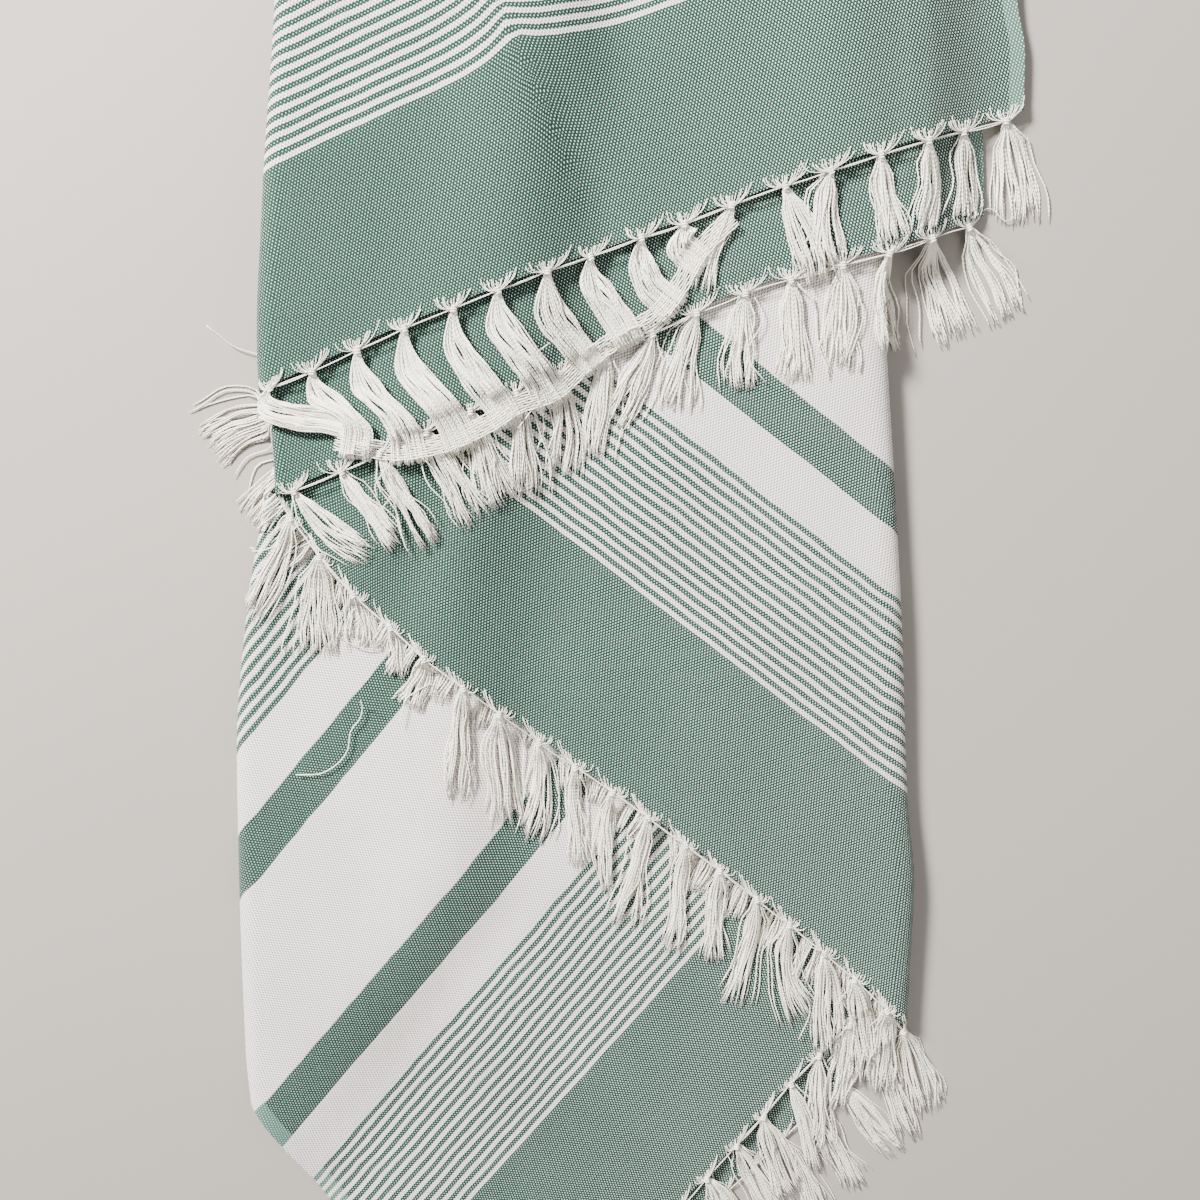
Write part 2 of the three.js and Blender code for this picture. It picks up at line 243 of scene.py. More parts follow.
@dataclass(frozen=True)
class Kink:
    """A pressed-in pleat that shifts the stripes of the front top panel: its line, shift and reach."""

    start: tuple[float, float] = (-39.3, 235.7)
    end: tuple[float, float] = (-2.7, 155.6)
    shift: float = 7.5
    left: float = 10.0
    right: float = 14.0
    rise: float = 60.0

    def shift_at(self, x: np.ndarray, y: np.ndarray, away: np.ndarray) -> np.ndarray:
        """Falls off on both sides of the line as e to the minus distance, and from the fringe inwards rises.

        Args:
            x: places across.
            y: places along.
            away: distance from the fringe.

        Returns:
            The shift of the stripes at each place.
        """
        along, across, _ = beside_line(self.start, self.end, x, y)
        fall = np.exp(-np.where(across > 0.0, across / self.right, -across / self.left))
        beyond = np.maximum(-along, 0.0) / self.rise
        return self.shift * fall * ramp(0.0, self.rise, away) * np.exp(-beyond ** 2)


@dataclass
class Stations:
    """Places along the section of a half, right to left and back: a panel or turn, and the share of it."""

    panel_steps: tuple[int, int, int, int] = (46, 40, 46, 8)
    turn_steps: int = 10
    panel: np.ndarray = field(init=False)
    share: np.ndarray = field(init=False)
    turn: np.ndarray = field(init=False)

    def __post_init__(self) -> None:
        """Lists the flat stretch of each panel and the half turn after it."""
        panels, shares, turns = [], [], []
        for panel in Panel:
            steps = self.panel_steps[panel]
            flat = np.linspace(0.0, 1.0, steps + 1)
            bend = np.arange(1, self.turn_steps) / self.turn_steps if panel < Panel.RETURN else np.empty(0)
            panels += [np.full(len(flat) + len(bend), int(panel))]
            shares += [flat, bend]
            turns += [np.zeros(len(flat), bool), np.ones(len(bend), bool)]
        self.panel = np.concatenate(panels)
        self.share = np.concatenate(shares)
        self.turn = np.concatenate(turns)

    def nearest_panel(self) -> np.ndarray:
        """Gives the panel of each station, with the second half of a turn counted to the next panel."""
        return self.panel + (self.turn & (self.share > 0.5))


@dataclass(frozen=True)
class Stack:
    """The pleated stack of two halves: its folds and the heights of its layers."""

    cloth: float = 1.8
    pitch: float = 3.6
    far_fold: float = 740.0
    far_bulge: float = 3.0
    fold_bulge: float = 4.5
    nest_step: float = 4.5
    return_width: float = 80.0
    settle_width: float = 40.0
    settle_margin: float = 10.0
    fringe_cover: float = 56.0
    fringe_heap: float = 1.9
    heap_start: tuple[float, float] = (-3.0, 1.0)
    heap_end: tuple[float, float] = (30.0, 44.0)
    edge_margin: float = 16.0
    outline_rounds: int = 16
    folds: tuple[Profile, Profile, Profile] = (
        Profile(((40, -137), (100, -137.5), (163, -133), (236, -125), (330, -119), (500, -114), (740, -112))),
        Profile(((-192, 138.5), (-130, 139), (-88, 134.7), (2, 128), (145, 114.4), (250, 106), (400, 100),
                 (740, 96))),
        Profile(((-234, -159), (-205, -160.5), (-133, -160), (-65, -158), (1, -150), (50, -139), (95, -128),
                 (170, -122), (250, -116), (400, -108), (740, -104))),
    )
    turn_side: tuple[int, int, int] = (-1, 1, -1)
    halves: dict[str, Half] = field(default_factory=lambda: {
        "front": Half(
            selvedge=Profile(((190, 171), (223, 170), (241, 166), (320, 158), (450, 146), (740, 126))),
            near_ends=(
                Profile(((-137.5, 91), (-70, 120), (12, 150.6), (90, 178), (171, 203))),
                Profile(((-137.5, 91), (-126, 66), (-105, 42), (0, -46), (134, -167))),
                Profile(((-161, -226), (-155.4, -234), (-62, -374), (-51.5, -385), (-42, -378.5), (47, -270),
                         (97, -209), (134, -167))),
                Profile(((-161, -226), (-76, -98))),
            ),
            inset=(0.0, 4.5, 0.0),
            levels=(7, 4, 3, 0),
            corner=-51.5,
            stripes=(StripeLine(-70, 120, 20.5), StripeLine(0, -46, -42.0), StripeLine(46.8, -270.4, 50.0)),
        ),
        "back": Half(
            selvedge=Profile(((150, 158), (192, 155.5), (240, 151), (320, 145), (450, 134), (740, 116))),
            near_ends=(
                Profile(((-133, 49), (28, 119), (65, 134), (122, 149.5), (158, 162))),
                Profile(((-133, 49), (-111.6, 19), (-88, -5), (-57, -32), (48, -111), (128, -179),
                         (139, -192))),
                Profile(((-156, -206), (-140, -230), (-50, -366), (-39, -377), (-30, -370), (47, -290),
                         (139, -192))),
                Profile(((-156, -206), (-72, -80))),
            ),
            inset=(4.5, 0.0, 4.5),
            levels=(6, 5, 2, 1),
            corner=-39.0,
            stripes=(StripeLine(28, 119, 22.0), StripeLine(-57, -32, -37.3), StripeLine(47, -290, 46.8)),
        ),
    })
    swells: tuple[Swell, ...] = (
        Swell(-32, 235, 26, 120, 0.22),
        Swell(95, 215, 22, 130, 0.2),
        Swell(-75, 60, 30, 45, 0.25),
        Swell(60, -20, 55, 90, 0.2),
        Swell(-60, -190, 45, 90, 0.35),
        Swell(20, 520, 60, 140, 0.22),
    )
    creases: tuple[Crease, ...] = (
        Crease("front", Panel.TOP, (-44, 290), (-1, 158), 5.0, 1.5),
        Crease("front", Panel.TOP, (-32, 290), (12, 162), 13.0, -1.1),
        Crease("front", Panel.TOP, (124, 320), (130, 190), 4.0, -1.4),
        Crease("front", Panel.TOP, (113, 320), (120, 192), 8.0, 1.2),
        Crease("front", Panel.TOP, (-95, 150), (-60, 260), 16.0, -0.7),
        Crease("front", Panel.TOP, (40, 190), (20, 300), 18.0, 0.7),
        Crease("back", Panel.SECOND, (-64, 54), (-82, 12), 8.5, 2.1),
        Crease("back", Panel.SECOND, (-48, 56), (-64, -2), 10.0, -1.3),
        Crease("back", Panel.SECOND, (10, 20), (100, -60), 14.0, 0.7),
        Crease("back", Panel.SECOND, (70, 60), (125, -120), 16.0, -0.7),
        Crease("front", Panel.THIRD, (-120, -150), (-20, -330), 22.0, 0.9),
        Crease("front", Panel.THIRD, (-60, -130), (60, -240), 20.0, -0.8),
    )

    def swell(self, x: np.ndarray, y: np.ndarray) -> np.ndarray:
        """Adds up the swells, each a bell curve of its two reaches, at the places x, y."""
        return sum(s.rise * np.exp(-((x - s.x) / s.across) ** 2 - ((y - s.y) / s.along) ** 2)
                   for s in self.swells)

    def near_line(self, half: Half, panel: int, x: np.ndarray) -> np.ndarray:
        """Reads a panel's near outline at the places x."""
        return half.near_ends[panel].read(x)

    def inside_return(self, x: np.ndarray, y: np.ndarray) -> np.ndarray:
        """Measures how far a place lies inside the folded-under return.

        Args:
            x: places across.
            y: places along.

        Returns:
            The smaller of the distances from its free side and from its slanting selvedge.
        """
        left = self.folds[2].read(y)
        low, high = self.halves["front"].near_ends[Panel.RETURN].points
        slope = (high[1] - low[1]) / (high[0] - low[0])
        from_edge = (y - low[1] - slope * (x - left)) / np.hypot(1.0, slope)
        from_side = left + self.return_width + self.settle_margin - x
        return np.minimum(from_side, from_edge + self.edge_margin)

    def inside_panel(self, panel: int, x: np.ndarray, y: np.ndarray) -> np.ndarray:
        """Measures how far a place lies inside the second or third panel, its fringe included.

        Args:
            panel: the panel.
            x: places across.
            y: places along.

        Returns:
            The smallest of the distances from its folds and from the end of its fringe.
        """
        left = self.folds[0 if panel == Panel.SECOND else 2].read(y)
        ends = [self.near_line(half, panel, x) for half in self.halves.values()]
        end = np.minimum(*ends) - self.fringe_cover
        return np.minimum(np.minimum(x - left, self.folds[1].read(y) + self.settle_margin - x), y - end)

    def height(self, half: Half, panel: int, x: np.ndarray, y: np.ndarray) -> np.ndarray:
        """Gives the middle height of a panel, two layers more for each pair of layers that lies below it.

        Args:
            half: the half of the cloth.
            panel: the panel.
            x: places across.
            y: places along.

        Returns:
            The height at each place, with each pair's edge eased over the settling width.
        """
        inside = (
            lambda: self.inside_return(x, y),
            lambda: self.inside_panel(Panel.THIRD, x, y),
            lambda: self.inside_panel(Panel.SECOND, x, y),
        )
        pairs = sum((ramp(-self.settle_width, 0.0, pair()) for pair in inside[:3 - panel]), np.zeros_like(x))
        layers = 2.0 * pairs + half.levels[panel] % 2
        return self.cloth / 2.0 + self.pitch * layers * (1.0 + self.swell(x, y))

    def turn(self, half: Half, fold: int, y: np.ndarray) -> tuple[np.ndarray, float]:
        """Finds the half turn after a panel.

        Args:
            half: the half of the cloth.
            fold: the fold, which has the number of the panel before it.
            y: places along.

        Returns:
            The place of its centre across, and its reach from there.
        """
        reach = self.fold_bulge + self.nest_step - half.inset[fold]
        side = self.turn_side[fold]
        return self.folds[fold].read(y) - side * (half.inset[fold] + reach), reach

    def section(self, half: Half, stations: Stations,
                y: np.ndarray) -> tuple[np.ndarray, np.ndarray, np.ndarray]:
        """Lays out the section: panels run straight between turn centres, and turns are half ellipses.

        Args:
            half: the half of the cloth.
            stations: places along the section.
            y: place along of each point, a row for each station.

        Returns:
            The place across, the height, and the place across with each panel laid out flat past its fold.
        """
        x, z = np.empty_like(y), np.empty_like(y)
        flat_x = np.empty_like(y)
        for panel in Panel:
            level = (stations.panel == panel) & ~stations.turn
            rows = y[level]
            start = half.selvedge.read(rows) if panel == Panel.TOP else self.turn(half, panel - 1, rows)[0]
            finish = start + self.return_width if panel == Panel.RETURN else self.turn(half, panel, rows)[0]
            x[level] = start + (finish - start) * stations.share[level][:, None]
            z[level] = self.height(half, panel, x[level], rows)
            flat_x[level] = x[level]
            if panel == Panel.RETURN:
                continue
            bend = (stations.panel == panel) & stations.turn
            rows, share = y[bend], stations.share[bend][:, None]
            centre, reach = self.turn(half, panel, rows)
            upper = self.height(half, panel, centre, rows)
            lower = self.height(half, panel + 1, centre, rows)
            side = self.turn_side[panel]
            x[bend] = centre + side * reach * np.sin(np.pi * share)
            z[bend] = lower + (upper - lower) * (1.0 + np.cos(np.pi * share)) / 2.0
            arc = turn_arc(reach, upper, lower)
            flat_x[bend] = centre + side * arc * np.minimum(share, 1.0 - share)
        return x, z, flat_x

    def near_end(self, half: Half, stations: Stations) -> np.ndarray:
        """Steps towards the place along at which each station's line meets the near outline.

        Args:
            half: the half of the cloth.
            stations: places along the section.

        Returns:
            The place along of each station's near end, as a column.
        """
        panel = stations.nearest_panel()
        y = np.zeros((len(panel), 1))
        for _ in range(self.outline_rounds):
            x = self.section(half, stations, y)[0]
            for k in Panel:
                y[panel == k] = self.near_line(half, k, x[panel == k])
        return y

    def support(self, half: Half, panel: np.ndarray, x: np.ndarray, y: np.ndarray) -> np.ndarray:
        """Finds the top of what lies under a panel's fringe: the surface, a lower layer, or a fringe on it.

        Args:
            half: the half that the fringe is on.
            panel: the panel that each place belongs to.
            x: places across.
            y: places along.

        Returns:
            The height of that top at each place.
        """
        own = np.array(half.levels)[panel]
        layers = [(other.levels[below], other, below) for other in self.halves.values() for below in Panel]
        top = np.zeros_like(x)
        for level, other, below in sorted(layers, key=lambda layer: layer[0]):
            left = self.folds[0 if below <= Panel.SECOND else 2].read(y)
            right = {
                Panel.TOP: other.selvedge.read(y),
                Panel.RETURN: left + self.return_width,
            }.get(below, self.folds[1].read(y))
            across = (x > left) & (x < right) & (level < own)
            past = self.near_line(other, below, x) - y
            here = self.height(other, below, x, y) + self.cloth / 2.0
            top = np.where(across & (past < 0.0), np.maximum(top, here), top)
            if below != Panel.RETURN:
                heap = ramp(*self.heap_start, past) * (1.0 - ramp(*self.heap_end, past))
                fringed = across & carries_fringe(other, below, x)
                top = np.where(fringed, top + self.fringe_heap * heap, top)
        return top


def turn_arc(reach: float, upper: np.ndarray, lower: np.ndarray) -> np.ndarray:
    """Gives a turn's length, half an ellipse: pi times the root mean square of its half axes."""
    return np.pi * np.sqrt((reach ** 2 + ((upper - lower) / 2.0) ** 2) / 2.0)


def carries_fringe(half: Half, panel: int, x: np.ndarray) -> np.ndarray:
    """Tells where a panel's near outline carries the fringe: everywhere but past the third panel's corner."""
    return np.full(x.shape, True) if panel != Panel.THIRD else x > half.corner


def new_mesh_object(name: str, vertices: np.ndarray, faces: list[np.ndarray], uv: np.ndarray,
                    attributes: dict[str, np.ndarray]) -> bpy.types.Object:
    """Makes a smooth mesh object at the origin.

    Args:
        name: name of the piece.
        vertices: places in the plan's millimetres.
        faces: arrays of vertex numbers, each with its own number of corners.
        uv: a pair for each vertex.
        attributes: values for each vertex, by name.

    Returns:
        The new object, linked to the scene.
    """
    mesh = bpy.data.meshes.new(name)
    corners = np.concatenate([part.ravel() for part in faces])
    totals = np.concatenate([np.full(len(part), part.shape[1]) for part in faces])
    mesh.vertices.add(len(vertices))
    mesh.vertices.foreach_set("co", ((vertices + PLAN_SHIFT) * MM).astype(np.float32).ravel())
    mesh.loops.add(len(corners))
    mesh.loops.foreach_set("vertex_index", corners.astype(np.int32))
    mesh.polygons.add(len(totals))
    mesh.polygons.foreach_set("loop_start", (np.cumsum(totals) - totals).astype(np.int32))
    mesh.update(calc_edges=True)
    mesh.validate()
    layer = mesh.uv_layers.new(name="threads")
    layer.data.foreach_set("uv", uv[corners].astype(np.float32).ravel())
    for label, values in attributes.items():
        mesh.attributes.new(label, "FLOAT", "POINT").data.foreach_set("value", values.astype(np.float32))
    mesh.shade_smooth()
    piece = bpy.data.objects.new(name, mesh)
    bpy.context.scene.collection.objects.link(piece)
    return piece


class Step(Enum):
    """The kinds of node that the finishes use: type, setting and its choice, output and order of inputs."""

    ADD = ("Math", "operation", "ADD")
    SUBTRACT = ("Math", "operation", "SUBTRACT")
    MULTIPLY = ("Math", "operation", "MULTIPLY")
    MULTIPLY_ADD = ("Math", "operation", "MULTIPLY_ADD")
    DIVIDE = ("Math", "operation", "DIVIDE")
    FRACTION = ("Math", "operation", "FRACT")
    ABSOLUTE = ("Math", "operation", "ABSOLUTE")
    ABOVE = ("Math", "operation", "GREATER_THAN")
    BELOW = ("Math", "operation", "LESS_THAN")
    SINE = ("Math", "operation", "SINE")
    COSINE = ("Math", "operation", "COSINE")
    SCALE = ("VectorMath", "operation", "SCALE")
    SPREAD = ("MapRange",)
    EASE = ("MapRange", "interpolation_type", "SMOOTHSTEP")
    MIX = ("Mix", "data_type", "RGBA", 2, (0, 6, 7))
    NOISE = ("TexNoise", "noise_dimensions", "2D", "Fac")
    BUMP = ("Bump",)
    THREADS = ("UVMap", "uv_map", "threads")
    PART_X = ("SeparateXYZ",)
    PART_Y = ("SeparateXYZ", "", "", 1)
    HEM = ("Attribute", "attribute_name", "hem", "Fac")
    # reads the painted side light: a share that paints the green bands lighter to the right, as the light
    # falls
    WORN = ("Attribute", "attribute_name", "painted_side_light", "Fac")
    TONE = ("Attribute", "attribute_name", "tone", "Fac")

    def __init__(self, kind: str, setting: str = "", choice: str = "", output: int | str = 0,
                 order: tuple[int, ...] = (0, 1, 2, 3, 4)) -> None:
        """Keeps what makes the node: its type, its one setting, the output to read and its inputs' order."""
        self.kind = f"ShaderNode{kind}"
        self.setting = setting
        self.choice = choice
        self.output = output
        self.order = order


def add_node(tree: bpy.types.NodeTree, step: Step, *values: object, **named: object) -> bpy.types.NodeSocket:
    """Adds a node with its setting, and sets or links its inputs.

    Args:
        tree: node tree of the material.
        step: kind of node.
        values: values or output sockets for its inputs, in the kind's order.
        named: values or output sockets for inputs by name.

    Returns:
        The node's output.
    """
    node = tree.nodes.new(step.kind)
    if step.setting:
        setattr(node, step.setting, step.choice)
    for label, value in [*zip(step.order, values), *named.items()]:
        if isinstance(value, bpy.types.NodeSocket):
            tree.links.new(value, node.inputs[label])
        else:
            node.inputs[label].default_value = value
    return node.outputs[step.output]


def new_material(name: str, plain: dict[str, object]) -> tuple[bpy.types.Material, bpy.types.Node]:
    """Makes a material whose shader has the given plain values.

    Args:
        name: name of the material.
        plain: values by the name of the shader's input.

    Returns:
        The material and its shader.
    """
    material = bpy.data.materials.new(name)
    material.use_nodes = True
    shader = material.node_tree.nodes["Principled BSDF"]
    for label, value in plain.items():
        shader.inputs[label].default_value = value
    return material, shader


class BandKind(Enum):
    """What a band of the cloth is woven from: green weft, white weft, or fine lines of both by turns."""

    GREEN = "green"
    WHITE = "white"
    LINES = "lines"


@dataclass(frozen=True)
class StripedCotton:
    """Flat-woven cotton: a white warp that shows as staggered dots, and a weft that changes colour in bands.

    The green weft with white dots reads as a soft grey green, and the thread spacing is drawn about a tenth
    coarser than it is, so that the dots show in the render.
    """

    bands: tuple[tuple[float, BandKind], ...] = (
        (0.0, BandKind.GREEN), (74.5, BandKind.LINES), (140.0, BandKind.WHITE), (159.5, BandKind.GREEN),
        (179.0, BandKind.WHITE), (246.0, BandKind.GREEN), (265.0, BandKind.WHITE), (286.0, BandKind.LINES),
        (351.5, BandKind.GREEN),
    )
    half_length: float = 752.0
    line_pitch: float = 4.23
    line_start: float = 74.5
    line_share: float = 0.47
    dot_spacing: float = 1.36
    pick_spacing: float = 2.1
    hem_width: float = 6.0
    stitch_pitch: float = 2.8
    green: str = "#22473a"
    green_deep: str = "#091a13"
    dot: str = "#e2e7df"
    dot_edge: tuple[float, float] = (0.38, 0.9)
    white_edge: tuple[float, float] = (-0.5, 0.5)
    white: str = "#fff7f1"
    # painted shade: the grey given to the hollows between the thread crowns of the white bands
    white_hollow_shade: str = "#918781"
    hem_tint: str = "#4f7466"
    wobble_scale: float = 60.0
    wobble_detail: float = 2.0
    wobble_reach: float = 1.2
    mottle_scale: float = 14.0
    mottle_detail: float = 4.0
    mottle_roughness: float = 0.6
    mottle_range: tuple[float, float, float, float] = (0.3, 0.7, 0.94, 1.05)
    fuzz_scale: float = 900.0
    fuzz_detail: float = 1.0
    hem_share: float = 0.6
    seam_inset: float = 1.2
    seam_reach: float = 0.45
    stitch_gap: float = 0.35
    hem_relief: float = 1.2
    stitch_relief: float = 1.6
    fuzz_relief: float = 0.4
    bump_strength: float = 0.55
    bump_height: float = 0.3
    roughness: float = 0.92
    sheen: float = 0.04
    sheen_roughness: float = 0.5
    specular: float = 0.2

    def band_mark(self, tree: bpy.types.NodeTree, where: bpy.types.NodeSocket,
                  kind: BandKind) -> bpy.types.NodeSocket:
        """Marks the bands of one kind with 1, each as the difference of two steps.

        Args:
            tree: node tree of the material.
            where: distance from the fringe in millimetres.
            kind: the kind to mark.

        Returns:
            The socket with the mark.
        """
        ends = [start for start, _ in self.bands[1:]] + [self.half_length]
        total = 0.0
        for (start, band), end in zip(self.bands, ends):
            if band is kind:
                entered = add_node(tree, Step.ABOVE, where, start)
                passed = add_node(tree, Step.ABOVE, where, end)
                total = add_node(tree, Step.ADD, add_node(tree, Step.SUBTRACT, entered, passed), total)
        return total

    def stitches(self, tree: bpy.types.NodeTree, hem: bpy.types.NodeSocket,
                 away: bpy.types.NodeSocket) -> bpy.types.NodeSocket:
        """Marks the hem's stitches with 1: a narrow line beside the hem's edge, cut into dashes.

        Args:
            tree: node tree of the material.
            hem: distance from the selvedge.
            away: distance from the fringe.

        Returns:
            The socket with the mark.
        """
        from_seam = add_node(tree, Step.SUBTRACT, hem, self.hem_width - self.seam_inset)
        on_seam = add_node(tree, Step.BELOW, add_node(tree, Step.ABSOLUTE, from_seam), self.seam_reach)
        count = add_node(tree, Step.DIVIDE, away, self.stitch_pitch)
        dash = add_node(tree, Step.ABOVE, add_node(tree, Step.FRACTION, count), self.stitch_gap)
        return add_node(tree, Step.MULTIPLY, on_seam, dash)

    def material(self) -> bpy.types.Material:
        """Builds the finish: bands by the distance from the fringe, dots from a product of two cosines.

        Returns:
            The material.
        """
        material, shader = new_material("striped flat-woven cotton", {
            "Roughness": self.roughness, "Sheen Weight": self.sheen, "Sheen Roughness": self.sheen_roughness,
            "Specular IOR Level": self.specular,
        })
        tree = material.node_tree
        threads = add_node(tree, Step.THREADS)
        across = add_node(tree, Step.MULTIPLY, add_node(tree, Step.PART_X, threads), 1.0 / MM)
        away = add_node(tree, Step.MULTIPLY, add_node(tree, Step.PART_Y, threads), 1.0 / MM)
        wobble = add_node(tree, Step.NOISE, Vector=threads, Scale=self.wobble_scale,
                          Detail=self.wobble_detail)
        drift = add_node(tree, Step.MULTIPLY_ADD, wobble, self.wobble_reach, -self.wobble_reach / 2.0)
        place = add_node(tree, Step.ADD, away, drift)
        count = add_node(tree, Step.DIVIDE, add_node(tree, Step.SUBTRACT, place, self.line_start),
                         self.line_pitch)
        fine = add_node(tree, Step.BELOW, add_node(tree, Step.FRACTION, count), self.line_share)
        fine_here = add_node(tree, Step.MULTIPLY, fine, self.band_mark(tree, place, BandKind.LINES))
        whiteness = add_node(tree, Step.ADD, self.band_mark(tree, place, BandKind.WHITE), fine_here)
        waves = [
            add_node(tree, Step.COSINE, add_node(tree, Step.MULTIPLY, where, 2.0 * np.pi / spacing))
            for where, spacing in ((across, self.dot_spacing), (away, self.pick_spacing))
        ]
        product = add_node(tree, Step.MULTIPLY, *waves)
        # painted light: the side-light attribute grows the dots towards the right, so the greens are painted
        # lighter on the right and darker on the left
        crowns_and_side_light = add_node(tree, Step.ADD, product, add_node(tree, Step.WORN))
        dots = add_node(tree, Step.EASE, crowns_and_side_light, *self.dot_edge)
        # painted shade: in the white bands the hollows between the thread crowns are painted a darker grey,
        # and only the crowns keep the full white
        rib_light_share = add_node(tree, Step.EASE, product, *self.white_edge)
        hem = add_node(tree, Step.HEM)
        hem_here = add_node(tree, Step.BELOW, hem, self.hem_width)
        hem_tinted = add_node(tree, Step.MULTIPLY, hem_here, self.hem_share)
        mottle = add_node(tree, Step.NOISE, Vector=threads, Scale=self.mottle_scale,
                          Detail=self.mottle_detail, Roughness=self.mottle_roughness)
        fuzz = add_node(tree, Step.NOISE, Vector=threads, Scale=self.fuzz_scale, Detail=self.fuzz_detail)
        weft = add_node(tree, Step.MIX, fuzz, linear(self.green_deep), linear(self.green))
        hem_weft = add_node(tree, Step.MIX, hem_tinted, weft, linear(self.hem_tint))
        green_cloth = add_node(tree, Step.MIX, dots, hem_weft, linear(self.dot))
        white_cloth = add_node(tree, Step.MIX, rib_light_share, linear(self.white_hollow_shade), linear(self.white))
        cloth = add_node(tree, Step.MIX, whiteness, green_cloth, white_cloth)
        shade = add_node(tree, Step.SPREAD, mottle, *self.mottle_range)
        tree.links.new(add_node(tree, Step.SCALE, cloth, Scale=shade), shader.inputs["Base Color"])
        relief = add_node(tree, Step.MULTIPLY_ADD, hem_here, self.hem_relief, dots)
        sunk = self.stitches(tree, hem, away)
        relief = add_node(tree, Step.MULTIPLY_ADD, sunk, -self.stitch_relief, relief)
        relief = add_node(tree, Step.MULTIPLY_ADD, fuzz, self.fuzz_relief, relief)
        bump = add_node(tree, Step.BUMP, Strength=self.bump_strength, Distance=self.bump_height * MM,
                        Height=relief)
        tree.links.new(bump, shader.inputs["Normal"])
        return material


@dataclass(frozen=True)
class CottonYarn:
    """Loose white cotton yarn: soft and matt, with a fine twist and a tone of each strand's own."""

    pale: str = "#fffaee"
    warm: str = "#e8dcc6"
    twist_pitch: float = 1.7
    twist_offset: float = 40.0
    twist_shade: float = 0.1
    bump_strength: float = 0.4
    bump_height: float = 0.2
    roughness: float = 0.85
    sheen: float = 0.1
    specular: float = 0.25

    def material(self) -> bpy.types.Material:
        """Builds the finish: a tone for each strand and a slanted wave along it for the twist.

        Returns:
            The material.
        """
        material, shader = new_material("loose cotton yarn", {
            "Roughness": self.roughness, "Sheen Weight": self.sheen, "Specular IOR Level": self.specular,
        })
        tree = material.node_tree
        tone = add_node(tree, Step.TONE)
        threads = add_node(tree, Step.THREADS)
        walked = add_node(tree, Step.MULTIPLY, add_node(tree, Step.PART_X, threads), 1.0 / MM)
        turns = add_node(tree, Step.DIVIDE, walked, self.twist_pitch)
        apart = add_node(tree, Step.MULTIPLY_ADD, tone, self.twist_offset, turns)
        round_it = add_node(tree, Step.ADD, apart, add_node(tree, Step.PART_Y, threads))
        twist = add_node(tree, Step.SINE, add_node(tree, Step.MULTIPLY, round_it, 2.0 * np.pi))
        shade = add_node(tree, Step.MULTIPLY_ADD, twist, self.twist_shade, tone)
        colour = add_node(tree, Step.MIX, shade, linear(self.warm), linear(self.pale))
        tree.links.new(colour, shader.inputs["Base Color"])
        bump = add_node(tree, Step.BUMP, Strength=self.bump_strength, Distance=self.bump_height * MM,
                        Height=twist)
        tree.links.new(bump, shader.inputs["Normal"])
        return material


